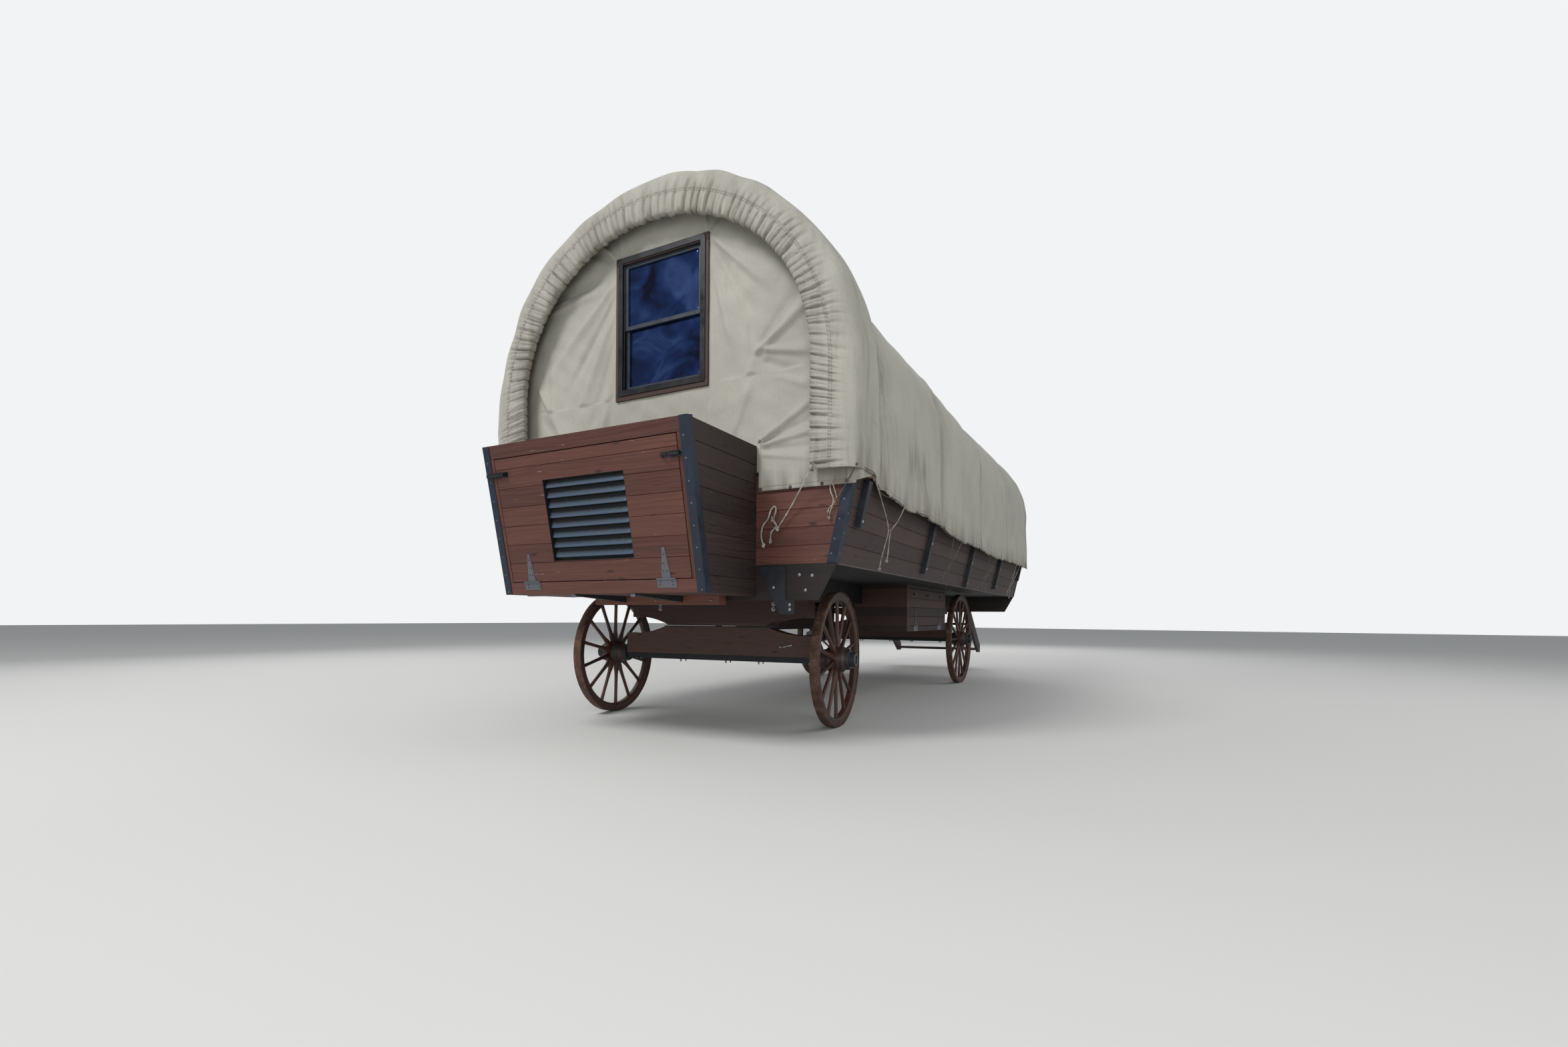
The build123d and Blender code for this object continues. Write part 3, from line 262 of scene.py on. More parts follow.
def twisted_cotton(name, pale, grey):
    """Three-strand cotton rope: soft grey-white strands with soil in the lay; the strands are in the mesh."""
    put, finish = fresh(name, Sheen_Weight=0.2, Sheen_Roughness=0.5)
    at = put("TexCoord", out="Object")
    tufts = put("TexNoise", {"Vector": at, "Scale": 420.0, "Detail": 2.0})
    worn = put("TexNoise", {"Vector": at, "Scale": 21.0, "Detail": 4.0})
    both = put("Math", {0: worn, 1: 0.6}, operation="MULTIPLY")
    both = put("Math", {0: tufts, 1: 0.4, 2: both}, operation="MULTIPLY_ADD")
    colour = put("ValToRGB", {0: both}, stops=((0.36, grey), (0.62, pale)))
    rough = put("MapRange", {0: worn, 1: 0.3, 2: 0.7, 3: 0.8, 4: 0.95})
    return finish(colour, rough, tufts, 0.5, 0.0008)


def tinted_glass(name):
    """Float glass with a dark reflective film: blue, almost a mirror at a low angle. Lighter blue blotches on its
    colour are painted reflections.
    """
    put, finish = fresh(name, Metallic=0.75, IOR=1.5)
    at = put("TexCoord", out="Object")
    ripple = put("TexNoise", {"Vector": at, "Scale": 5.0, "Detail": 1.0})
    # lighter blue blotches in the colour: painted reflections
    reflection_blotches_at = put("VectorMath", {0: at, 1: (2.6, 2.6, 3.4)}, operation="MULTIPLY")
    reflection_blotches = put("TexNoise", {"Vector": reflection_blotches_at, "Scale": 1.0, "Detail": 5.0, "Distortion": 0.8})
    colour = put("ValToRGB", {0: reflection_blotches}, stops=((0.36, "#10142c"), (0.52, "#22386a"), (0.70, "#4d6496")))
    film = put("MapRange", {0: ripple, 1: 0.3, 2: 0.7, 3: 0.05, 4: 0.12})
    return finish(colour, film, ripple, 0.10, 0.004)


RED = ("#27130e", "#553027", "#70473a")
BROWN = ("#18110e", "#3b2d2a", "#58463f")
DEEP = ("#110b0a", "#2a1d1b", "#3f2f2b")
MATERIALS = {
    # what each gives the eye: red stain with pale scuffs, on boards that lie across the end walls
    "end_boards": timber("pine_red_stain_end_walls", *RED, scuff="#8f7a70", tone=0.12,
                         lay=("X", "Z", PLANK_RISE, BODY_BOTTOM)),
    "side_boards": timber("pine_weathered_stain_sides", *BROWN, lay=("Y", "Z", PLANK_RISE, BODY_BOTTOM), tone=0.10),
    "nose_sides": timber("pine_dark_stain_box_sides", *DEEP, scuff="#6d625c", tone=0.10,
                         lay=("Y", "Z", 0.1358, 1.0352)),
    "nose_door": timber("pine_red_stain_box_door", *RED, rough=(0.42, 0.66), scuff="#a58f83", tone=0.08,
                        lay=("X", "Z", 0.1355 * RAKE_UP.z, 1.058 + 0.095 * RAKE_UP.z)),
    "red_boards": timber("pine_red_stain_boards", *RED, rough=(0.42, 0.66), scuff="#a58f83", tone=0.10),
    # the floor's underside is near black: black paint, and painted shade under the floor
    "deck": timber("pine_sawn_floor", "#5d4630", "#8d7150", "#b39a74", lay=("Y", "X", 0.14, 0.0),
                   under=(1.290, "#040508")),
    "inside": timber("pine_sawn_panels", "#6a5236", "#a08460", "#c2a982", lay=("Z", "X", 0.14, 0.0)),
    "bow": timber("ash_steamed_bows", "#7d6343", "#ab9069", "#c9b28c", lay=("Y", "X", 9.0, 0.0), knots=0.0),
    "header": timber("oak_dark_headers", "#090605", "#1a110f", "#2b1e1a", lay=("X", "Z", 0.3, 0.9)),
    "beam": timber("oak_brown_beams", "#22120e", "#46302a", "#614539", lay=("X", "Z", 0.3, 0.55), knots=0.35),
    "ledger": timber("pine_red_ledger", "#3a2018", "#6a4334", "#8a5d49", lay=("X", "Z", 0.3, 0.9)),
    "locker": timber("pine_dark_lockers", "#110a08", "#35231d", "#523a31", lay=("Y", "Z", 0.1025, 0.822)),
    "cabin_door": timber("pine_red_stain_cabin_door", *RED, lay=("Z", "X", 0.13, -0.39)),
    "steps": timber("pine_dark_steps", *DEEP, lay=("X", "Y", 0.235, 3.7)),
    "wheel_wood": timber("hickory_stained_wheels", "#1f100c", "#402620", "#5c3b30", rough=(0.35, 0.6), knots=0.0),
    "trim": timber("pine_brown_window_trim", "#1e130f", "#3d2a24", "#573d33"),
    "black_steel": painted_steel("steel_black_paint", "#14181f", "#2b3038"),
    "blue_steel": painted_steel("steel_blue_black_paint", "#111b2b", "#253144"),
    "frame_steel": painted_steel("steel_navy_frame_paint", "#07090f", "#161a22", rough=0.55),
    # each slat is dark under the one above: painted shade
    "louvre": pressed_slats("steel_blue_grey_enamel", "#0d1013", "#3f4f62"),
    "hinge_steel": painted_steel("steel_zinc_hinges", "#5f6068", "#84858b", rough=0.38, metallic=0.6),
    "plate_steel": painted_steel("steel_greasy_turntable", "#1f2124", "#44474a", rough=0.4, metallic=0.6),
    "window_black": painted_steel("aluminium_black_sash", "#0b0c10", "#1c1f26", rough=0.3),
    "hub_iron": painted_steel("iron_dark_hub_bands", "#23262c", "#3e4045", rough=0.5, metallic=0.3),
    "tyre": rusty_steel("steel_rusted_tyre", "#2a1c16", "#5a4136", "#8c7466"),
    "canvas": cotton_duck("duck_cotton_cover", "#b2afa4", "#a09e95", "#8a877c", "#5d5648"),
    "rope": twisted_cotton("cotton_rope", "#b9b5a9", "#5e5a52"),
    "old_rope": twisted_cotton("cotton_rope_browned", "#6f6455", "#3a342c"),
    "eyelet": painted_steel("brass_blackened_eyelets", "#191a1d", "#4b4740", rough=0.4, metallic=0.4),
    "zinc": painted_steel("steel_zinc_fasteners", "#9b9da0", "#b9bbbd", rough=0.32, metallic=0.85),
    "dull_zinc": painted_steel("steel_dull_screws", "#6d7075", "#8d8f93", rough=0.42, metallic=0.7),
    "latch_black": painted_steel("steel_black_latches", "#101114", "#34363b", rough=0.34),
    # near black: painted shade for the inside of the louvre vent
    "recess": painted_steel("steel_black_louvre_box_painted_shade", "#090a0d", "#15171b", rough=0.6),
    "sash_grey": painted_steel("aluminium_grey_sash", "#262d36", "#3b444f", rough=0.36),
    "thread": twisted_cotton("linen_thread", "#989488", "#6b675e"),
    "sole": timber("pine_weathered_board_edges", "#3b3634", "#6c6764", "#8d8986", lay=("Y", "Z", 9.0, 0.0), knots=0.0),
    "glass": tinted_glass("glass_reflective_film"),
}
# The finish of each piece of the frame
NODE_FINISH = {
    "deck": "floor_deck", "side_boards": "side_walls", "end_boards": "end_walls nose_box_boards",
    "inside": "end_sills end_panels", "blue_steel": "corner_irons nose_box_irons", "bow": "bows",
    "black_steel": "stakes nose_box_arms header_gusset locker_straps_right locker_straps_left",
    "trim": "window_trim", "window_black": "window_sash", "glass": "window_glass", "nose_sides": "nose_box_sides",
    "nose_door": "nose_box_face nose_door", "louvre": "nose_louvre", "header": "end_headers", "ledger": "nose_ledger",
    "frame_steel": "chassis_frame rear_axle_beam front_axle_beam", "beam": "bolsters rear_axle_board front_axle_board",
    "plate_steel": "front_turn_plate", "locker": "lockers locker_door_right locker_door_left",
    "cabin_door": "door_frame cabin_door", "steps": "rear_steps",
    "hinge_steel": "hinge_plates nose_door_straps cabin_door_straps",
}
for finish_name, node_names in NODE_FINISH.items():
    for node_name in node_names.split():
        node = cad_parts[node_name]
        if not node.material_slots:
            node.data.materials.append(None)
        for material_slot in node.material_slots:
            material_slot.material = MATERIALS[finish_name]


def mesh_of(name, points, faces, edges=()):
    mesh = bpy.data.meshes.new(name)
    mesh.from_pydata(np.asarray(points, float).tolist(), list(edges), [list(map(int, face)) for face in faces])
    return mesh


def mark(mesh, label, values):
    """Keeps a number or a direction with each point of a mesh."""
    values = np.asarray(values, np.float32)
    kind, key = ("FLOAT_VECTOR", "vector") if values.ndim > 1 else ("FLOAT", "value")
    mesh.attributes.new(label, kind, "POINT").data.foreach_set(key, values.ravel())


def shown(mesh, body, slot):
    made = bpy.data.objects.new(mesh.name, mesh)
    bpy.context.scene.collection.objects.link(made)
    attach(made, body)
    return made


def piece(name, vertices, faces, finish, body, slot, smooth=True):
    """A mesh piece, its points given with y from the front wall, riding on a body."""
    mesh = mesh_of(name, np.asarray(vertices, float) + (0.0, FRONT, 0.0), faces)
    mesh.materials.append(MATERIALS[finish])
    mesh.polygons.foreach_set("use_smooth", [smooth] * len(mesh.polygons))
    mesh.update()
    return shown(mesh, body, slot)


def skin(outer, inner, keep=None):
    """A closed skin between two grids of points that run column by column along each row. keep marks the
    cells that stay."""
    rows, columns, _ = outer.shape
    count = rows * columns
    a = np.arange(count).reshape(rows, columns)[:-1, :-1].ravel()
    quads = np.stack([a, a + 1, a + columns + 1, a + columns], 1)
    if keep is not None:
        quads = quads[keep[:-1, :-1].ravel()]
    edges = {(int(a), int(b)) for quad in quads for a, b in zip(quad, np.roll(quad, -1))}
    wall = [(b, a, a + count, b + count) for a, b in sorted(edges) if (b, a) not in edges]
    points = np.concatenate([outer.reshape(-1, 3), inner.reshape(-1, 3)])
    return points, [*quads.tolist(), *(quads[:, ::-1] + count).tolist(), *wall]


def rings_between(count, sides, closed=False):
    """Faces that join rings of points one to the next, and the last to the first if closed; if not, the
    first and the last are covered."""
    faces = []
    for i in range(count if closed else count - 1):
        here, there = i * sides, (i + 1) % count * sides
        faces += [(here + k, here + (k + 1) % sides, there + (k + 1) % sides, there + k) for k in range(sides)]
    if not closed:
        faces += [tuple(reversed(range(sides))), tuple((count - 1) * sides + k for k in range(sides))]
    return faces


def normals_of(points):
    """Unit normals of a grid of points (rows, columns, 3)."""
    du = np.gradient(points, axis=1)
    dv = np.gradient(points, axis=0)
    n = np.cross(du, dv)
    return n / np.maximum(np.linalg.norm(n, axis=2, keepdims=True), 1e-9)


def cloth_shell(name, outer, uv, thick, replaced, keep=None, seam=1.0, grime_and_shade=0.0):
    """A sheet of cloth as a closed skin: the grid given is its outer face. keep marks the cells that stay,
    seam is how far each point is from the nearest sewn line, and the last how much soiling and painted shade darken it."""
    points, faces = skin(outer, outer - normals_of(outer) * thick, keep)
    used = np.zeros(len(points), bool)
    for face in faces:
        used[list(face)] = True
    number = np.cumsum(used) - 1
    made = piece(name, points[used], [number[list(face)] for face in faces], "canvas", "wagon", "canvas")
    flat = np.concatenate([uv.reshape(-1, 2), uv.reshape(-1, 2)])[used]
    layer = made.data.uv_layers.new(name="cloth")
    corners = np.zeros(len(made.data.loops), int)
    made.data.loops.foreach_get("vertex_index", corners)
    layer.data.foreach_set("uv", flat[corners].ravel())
    for label, field in (("seam", seam), ("grime_and_shade", grime_and_shade)):
        values = np.tile(np.broadcast_to(field, outer.shape[:2]).ravel(), 2)[used]
        mark(made.data, label, values)
    if replaced:
        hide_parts(replaced)
    return made


def smooth_step(x, low, high):
    t = np.clip((x - low) / (high - low), 0, 1)
    return t * t * (3 - 2 * t)


def waves(seed, count, reach, *axes):
    """A smooth random field from a few sine waves, about -1 to 1, over the given coordinate grids."""
    rng = random.Random(seed)
    total = 0.0
    for _ in range(count):
        angle = rng.uniform(0, math.tau)
        for axis in axes:
            angle = angle + axis * rng.uniform(-1, 1) * math.tau / reach
        total = total + np.sin(angle)
    return total / math.sqrt(count)


# The cover: place, crown and hem heights over the bows, as the model has them
COVER_LINE = np.array((
    (-0.060, 4.262, 1.877), (0.262, 4.256, 1.866), (0.300, 4.170, 1.850), (0.345, 4.010, 1.834), (0.390, 3.885, 1.818),
    (0.430, 3.850, 1.800), (0.553, 3.847, 1.776), (0.856, 3.844, 1.748), (1.500, 3.836, 1.760), (1.982, 3.830, 1.748),
    (2.450, 3.806, 1.697), (2.800, 3.788, 1.692), (3.454, 3.760, 1.711), (3.755, 3.745, 1.703), (4.640, 3.800, 1.676),
    (5.322, 3.846, 1.710), (5.914, 3.880, 1.719), (6.400, 3.900, 1.728), (7.300, 3.945, 1.739), (7.570, 3.945, 1.739),
))
COVER_HALF, HEM_HALF, SPRING = 1.710, 1.735, 2.550
FRONT_CROWN, REAR_CROWN = 4.262, 3.945
LEG = 0.16      # the part of a hoop's length that each straight leg takes
GIRTH = 6.6
BOW_PLACES = (0.210, 1.9825, 3.755, 5.5275, 7.300)
SEAMS = (0.372, 1.985, 3.760, 5.5275)
# Where the hem has eyelets, y from the front
EYELETS = (0.305, 0.560, 0.819, 1.150, 1.481, 1.770, 2.064, 2.410, 2.765, 3.020, 3.269, 3.640, 3.990, 4.300,
           4.650, 4.830, 5.000, 5.300, 5.620, 5.930, 6.290, 6.640, 6.980, 7.260)


def ring_arch(turn, half, spring, top, foot, foot_half):
    """Legs and half an ellipse; turn runs 0 to 1 from the right foot over the top to the left."""
    low = np.clip(np.minimum(turn, 1 - turn) / LEG, 0, 1)
    side = np.where(turn < 0.5, 1.0, -1.0)
    angle = np.clip((turn - LEG) / (1 - 2 * LEG), 0, 1) * math.pi
    x = np.where(low < 1, side * (foot_half + (half - foot_half) * low), half * np.cos(angle))
    z = np.where(low < 1, foot + (spring - foot) * low, spring + (top - spring) * np.sin(angle))
    return x, z


def section_points(y, crown, hem, turn):
    """The cover's outer line at y; turn runs 0 to 1 from the right hem over the crown to the left."""
    x, z = ring_arch(turn, COVER_HALF, SPRING, crown, hem, HEM_HALF)
    return np.stack(np.broadcast_arrays(x, y, z), -1)


def fan(y, down, start, spread, folds, deep, seed):
    """Folds that leave a seam near the shoulder and spread along the wagon as they fall to the hem."""
    q = (y - start) / (0.05 + spread * np.clip(down, 0, 1))
    wobble = waves(seed, 5, 0.9, y, down) * 0.28
    phase = folds * np.clip(q, 0, 1.3) ** 0.8 + wobble
    valley = (0.5 + 0.5 * np.cos(math.tau * phase)) ** 3.0
    strength = 0.75 + 0.25 * np.sin(3.1 * phase + seed)
    near = np.exp(-(np.clip(q, 0, None) / 0.66) ** 2) * (q > 0) * smooth_step(q, 0.0, 0.06)
    return -deep * near * smooth_step(down, -0.35, 0.2) * valley * strength


def leaning(points, crown, amount):
    """The front hoop stands a little to the left at its top."""
    rise = np.clip((points[..., 2] - SPRING) / (crown - SPRING), 0, 1)
    points[..., 0] -= amount * rise
    return points


def nearest(values, marks):
    """How far each value is from the nearest mark."""
    return np.min([np.abs(values - mark) for mark in marks], axis=0)


def over_bows(grid, beside, reach):
    """Lifts cloth that folds or leans into a bow until it lies on the bow. That goes for what is beside the
    bow too, by that much, and the cloth further off follows."""
    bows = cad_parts["bows"].data
    surface = BVHTree.FromPolygons([v.co for v in bows.vertices], [list(face.vertices) for face in bows.polygons])
    away, outside, clearance, half_bow = normals_of(grid), 0.12, 0.006, 0.030
    lift = np.zeros(grid.shape[:2])
    for place in BOW_PLACES:
        for row, column in zip(*np.nonzero(np.abs(grid[..., 1] - place) < beside)):
            x, y, z = grid[row, column]
            way = Vector(away[row, column])
            start = Vector((x, FRONT + min(max(y, place - half_bow), place + half_bow), z)) + way * outside
            far = surface.ray_cast(start, -way, outside + clearance)[3]
            if far is not None:
                lift[row, column] = outside + clearance - far
    y = grid[..., 1].mean(axis=1)
    spread = np.exp(-((y[:, None] - y[None, :]) / reach) ** 2)
    lift = np.max(spread[:, :, None] * lift[None], axis=1)
    return grid + away * lift[..., None]


def side_cover():
    places = [0.262]
    while places[-1] < 7.47:
        after = min((places[-1] - start) % 10 for start in (0.25, 1.93, 3.70, 5.46, 7.18))
        places.append(places[-1] + (0.0130 if after < 0.72 else 0.027))
    y = np.array(places)[:, None]
    turn = np.concatenate([np.linspace(0, 0.065, 9), np.linspace(0.065, 0.935, 74)[1:], np.linspace(0.935, 1, 9)[1:]])
    turn = turn[None, :]
    crown = np.interp(y, COVER_LINE[:, 0], COVER_LINE[:, 1])
    hem = np.interp(y, COVER_LINE[:, 0], COVER_LINE[:, 2])
    outer = section_points(y, crown, hem, turn)
    sideways = np.abs(2 * turn - 1)
    down = (sideways - 0.35) / 0.65 + 0 * y
    left = np.where(turn < 0.5, 0.0, 1.0)
    bay = np.zeros_like(y)
    for near, far in zip((0.40, *BOW_PLACES[1:-1]), BOW_PLACES[1:]):
        inside = (y >= near) & (y < far)
        bay = np.where(inside, np.abs(np.sin(math.pi * (y - near) / (far - near))) ** 0.8, bay)
    push = 0.022 * bay * smooth_step(sideways, 0.30, 0.65) * (1 - 0.6 * smooth_step(sideways, 0.8, 1.0))
    push = push - 0.040 * bay * (1 - smooth_step(sideways, 0.1, 0.6)) + 0.005 * waves(3, 9, 0.6, y, turn * 6.5)
    valleys = 0 * y * turn
    for start, spread, folds, deep, seed in ((0.330, 0.62, 10, 0.052, 11), (1.995, 0.60, 8, 0.042, 12),
                                             (3.770, 0.42, 5, 0.024, 13), (5.545, 0.42, 5, 0.022, 14)):
        folded = fan(y + 0.035 * left * np.sin(9 * down), down, start, spread, folds, deep, seed)
        valleys = valleys - folded / 0.052
        push = push + folded * (1 - 0.72 * smooth_step(sideways, 0.90, 1.0))
    push = push + fan(7.46 - y + 7.25, down, 7.255, 0.45, 5, 0.016, 15)
    # cloth drawn in along each seam, and slack just in front of the second bow
    for seam, deep, wide in ((0.372, 0.026, 0.030), (1.985, 0.022, 0.040), (3.760, 0.008, 0.035),
                             (5.5275, 0.010, 0.030)):
        push = push - deep * np.exp(-((y - seam) / wide) ** 2) * smooth_step(down, -0.3, 0.3)
    push = push - 0.014 * np.exp(-((y - 1.80) / 0.05) ** 2) * smooth_step(down, 0.1, 0.6)
    pucker = np.sin(turn * GIRTH * math.tau / 0.050 + 1.5 * waves(16, 4, 0.5, turn * 6.5))
    push = push + 0.006 * pucker * np.exp(-((y - 5.5275) / 0.060) ** 2) * smooth_step(down, -0.3, 0.0)
    # the hem is drawn in at its eyelets, and pulled creases run up from them
    tied = np.exp(-(nearest(y, EYELETS) / 0.055) ** 2)
    push = push - 0.012 * tied * smooth_step(sideways, 0.93, 1.0)
    for number, place in enumerate(EYELETS):
        reach = 0.12 + 0.05 * math.sin(7.0 * number)
        above = np.minimum(turn, 1 - turn) * GIRTH
        lean = 0.5 * math.sin(2.3 * number) * above
        reach = reach * (0.35 + smooth_step(above, 0.0, 0.06))
        fading = np.exp(-above / reach) * smooth_step(above, 0, 0.03)
        push = push + 0.006 * np.exp(-((y - place - 0.06 - lean) / 0.026) ** 2) * fading
        push = push - 0.005 * np.exp(-((y - place - lean) / 0.022) ** 2) * fading
    pulled = 0.030 * np.exp(-((y - 1.40 + 0.9 * (1 - sideways)) / 0.05) ** 2) * smooth_step(sideways, 0.86, 0.94)
    push = push + pulled * (1 - left)
    # its front edge is tucked in under the hoop's rear edge
    overhang = np.clip(np.abs(outer[..., 0]) - COVER_HALF, 0, None)
    push = push - (overhang + 0.018) * (1 - smooth_step(y, 0.262, 0.40))
    outer = outer - normals_of(outer) * push[..., None]
    droop = 0.010 * (1 - tied) - 0.004 * tied
    outer[..., 2] -= droop * smooth_step(sideways, 0.94, 1.0)
    outer = leaning(outer, crown, 0.034 * (1 - smooth_step(y, 0.3, 1.9)))
    uv = np.stack(np.broadcast_arrays(turn * GIRTH, y), -1)
    hem_line = np.abs(np.minimum(turn, 1 - turn) * GIRTH - 0.040) + 0 * y
    seam = np.minimum(hem_line, nearest(y, (0.384, 1.998, 3.773, 5.515, 5.540)) + 0 * turn)
    seam = np.minimum(seam, nearest(turn * GIRTH, (2.02, 4.58)) + 0 * y)
    # darker near the hem, in a patch on the right side and along the seams; painted shade in the folds' valleys
    low = smooth_step(sideways, 0.90, 1.0) * 0.55
    patch = np.exp(-((y - 1.15) / 0.22) ** 2 - ((sideways - 0.86) / 0.07) ** 2) * (1 - left)
    dirt_and_shade = low + 0.85 * valleys ** 2 + 0.95 * patch
    dirt_and_shade = dirt_and_shade + 0.35 * np.exp(-(nearest(y, SEAMS) / 0.05) ** 2) * smooth_step(down, 0, 0.5)
    outer, uv, seam, dirt_and_shade = outer[::-1], uv[::-1], seam[::-1], np.clip(dirt_and_shade, 0, 1)[::-1]
    outer = over_bows(outer, 0.048, 0.05)
    made = cloth_shell("canvas_side_cover", outer, uv, 0.003, "canvas_cover", seam=seam, grime_and_shade=dirt_and_shade)
    return made, outer, y[::-1, 0], turn[0]


# A gathered ring's section: part of the way from its inner edge to the outer line, and y
BONNET_SECTION = np.array((
    (0.030, -0.045), (0.004, -0.062), (0.00, -0.078), (0.014, -0.092), (0.045, -0.101), (0.09, -0.107), (0.15, -0.112),
    (0.22, -0.116), (0.30, -0.118), (0.38, -0.119), (0.425, -0.119), (0.45, -0.118), (0.475, -0.119), (0.52, -0.120),
    (0.60, -0.119), (0.68, -0.116), (0.76, -0.110), (0.84, -0.099), (0.91, -0.081), (0.96, -0.056), (0.99, -0.021),
    (1.00, 0.020), (1.004, 0.080), (1.005, 0.140), (1.004, 0.195), (1.000, 0.236), (0.992, 0.262), (0.972, 0.280),
    (0.935, 0.292), (0.890, 0.302),
))
STITCH_ROWS = (10, 12)


def bonnet(name, crown, rear, seed):
    """The ring of canvas drawn in by a cord round the end panel: tight pleats at its inner edge open out
    towards a smooth band that goes over the end bow."""
    rng = random.Random(seed)
    turn = np.linspace(0, 1, 901)
    inner_x, inner_z = ring_arch(turn, 1.360, crown - 1.562, crown - 0.322, 1.890, 1.360)
    outer_x, outer_z = ring_arch(turn, COVER_HALF + 0.004, SPRING, crown, 1.882, COVER_HALF + 0.004)
    length = np.concatenate([[0], np.cumsum(np.hypot(np.diff(inner_x), np.diff(inner_z)))])
    edges = [0.0]
    while edges[-1] < length[-1]:
        edges.append(edges[-1] + rng.choice((0.044, 0.060, 0.076, 0.092)) * rng.uniform(0.85, 1.15))
    knots = np.arange(len(edges))
    pleat = np.interp(length, edges, knots)
    depth = np.interp(pleat, knots, [rng.uniform(0.45, 1.0) for _ in edges])
    out, y = BONNET_SECTION[:, 0][:, None], BONNET_SECTION[:, 1][:, None]
    order = np.arange(len(BONNET_SECTION))[:, None]
    x = inner_x + (outer_x - inner_x) * out
    z = inner_z + (outer_z - inner_z) * out
    base = np.stack(np.broadcast_arrays(x, y, z), -1)
    # the pleats' depth on the way out; the two rows of stitches pinch them
    stitched = np.exp(-((out - 0.45) / 0.040) ** 2)
    open_out = np.interp(out, (0.0, 0.05, 0.15, 0.35, 0.55, 0.75, 0.92),
                         (0.020, 0.026, 0.030, 0.025, 0.018, 0.008, 0.0))
    open_out = np.where(order < 3, 0.012, open_out)
    drift = 0.45 * waves(seed + 1, 6, 1.0, out * 0.35, length) * smooth_step(out, 0.1, 0.8)
    # each gather is a sharp fold beside a valley, with a smooth bulge between it and the next
    wide = 1.0 + 1.5 * np.clip(out, 0, 1)
    gathers = []
    for count, shift in ((1.0, 0.0), (1.9, 0.37)):
        off = (count * (pleat + drift) + shift) % 1.0 - 0.5
        fold = np.exp(-((off - 0.075 * wide) / (0.075 * wide)) ** 2)
        dip = 0.9 * np.exp(-((off + 0.06 * wide) / (0.070 * wide)) ** 2)
        gathers.append(fold - dip - 0.40 * np.cos(math.tau * off))
    valley = np.exp(-((((pleat + drift) % 1.0 - 0.5) + 0.05 * wide) / (0.055 * wide)) ** 2)
    reach = np.interp(pleat, knots, [rng.uniform(0.60, 1.02) for _ in edges])
    alive = 1 - smooth_step(out, reach - 0.32, reach)
    push = 0.62 * open_out * depth * (gathers[0] + 0.35 * gathers[1]) * alive * (1 - 0.55 * stitched)
    ruffle = np.abs(np.sin(math.pi * 1.5 * pleat + 0.7)) * np.exp(-(out / 0.05) ** 2)
    push = push + 0.004 * ruffle + 0.0060 * stitched * np.sin(math.tau * length / 0.026)
    push = push + 0.006 * waves(seed + 2, 7, 0.9, out * 0.5, length) * smooth_step(out, 0.2, 0.9)
    # the slack band sags a little between the pleats that reach it
    push = push + 0.004 * waves(seed + 3, 7, 0.25, out * 0.1, length) * smooth_step(out, 0.5, 0.8) * (order < 24)
    base = base - normals_of(base) * push[..., None]
    pull = rng.random()
    scallop = 0.006 * np.sin(math.tau * (pleat * 0.5 + pull)) * (order < 5)
    base[..., 2] -= scallop * np.sin(np.clip((turn - LEG) / (1 - 2 * LEG), 0, 1) * math.pi)
    uv = np.stack(np.broadcast_arrays(length, out * 0.36), -1)
    away = np.min([np.abs(out - mark) * 0.36 for mark in (0.425, 0.475)], axis=0)
    band = np.where(order > 22, np.abs(y - 0.230), 1.0)
    seam = np.minimum(away, band) + 0 * length
    # darker all over, most at the inner edge and the feet: part soiling, part painted shade for a ring that stands in
    # shade; painted shade in the pleats' valleys
    foot = np.clip(1 - np.minimum(turn, 1 - turn) / 0.05, 0, 1)
    dirt_and_shade = 0.22 + 0.30 * np.exp(-(out / 0.10) ** 2) + 0.35 * foot
    dirt_and_shade = np.clip(dirt_and_shade + 0.9 * valley * depth * alive * (1 - out), 0, 1)
    if rear:
        base[..., 1] = BODY_LENGTH - base[..., 1]
        base, uv, seam, dirt_and_shade = base[:, ::-1], uv[:, ::-1], seam[:, ::-1], dirt_and_shade[:, ::-1]
    else:
        base = leaning(base, crown, 0.034)
    base, uv, seam, dirt_and_shade = base[::-1], uv[::-1], seam[::-1], dirt_and_shade[::-1]
    base = over_bows(base, 0.075, 0.12)
    return cloth_shell(name, base, uv, 0.004, "canvas_cover", seam=seam, grime_and_shade=dirt_and_shade), base


def flap_corner(label, side):
    """The flap's outer end, brought round the corner and drawn up under the hoop."""
    stops = np.array(((0.0, 1.600, -0.0150), (0.09, 1.690, -0.0160), (0.115, 1.7035, -0.008), (0.13, 1.7060, 0.010),
                      (0.315, 1.7060, 0.195)))
    far = np.linspace(0, 0.315, 40)[None, :]
    part = np.linspace(0, 1, 14)[:, None]
    x = np.interp(far, stops[:, 0], stops[:, 1]) + 0 * part
    y = np.interp(far, stops[:, 0], stops[:, 2]) + 0 * part
    low = np.interp(far, (0.0, 0.10, 0.315), (1.812, 1.815, 1.878))
    z = low + (1.925 - low) * part
    x = x + 0.004 * np.sin(9 * far + 6 * part) * smooth_step(far, 0.13, 0.2)
    grid = np.stack([side * x, y, z], -1)
    uv = np.stack(np.broadcast_arrays(far, z), -1)
    if label == "rear":
        grid[..., 1] = BODY_LENGTH - grid[..., 1]
    if (label == "rear") == (side > 0):
        grid, uv = grid[:, ::-1], uv[:, ::-1]
    return cloth_shell(f"canvas_corner_{label}_{'right' if side > 0 else 'left'}", grid, uv, 0.002, None,
                       seam=np.abs(z - low - 0.018), grime_and_shade=0.3)


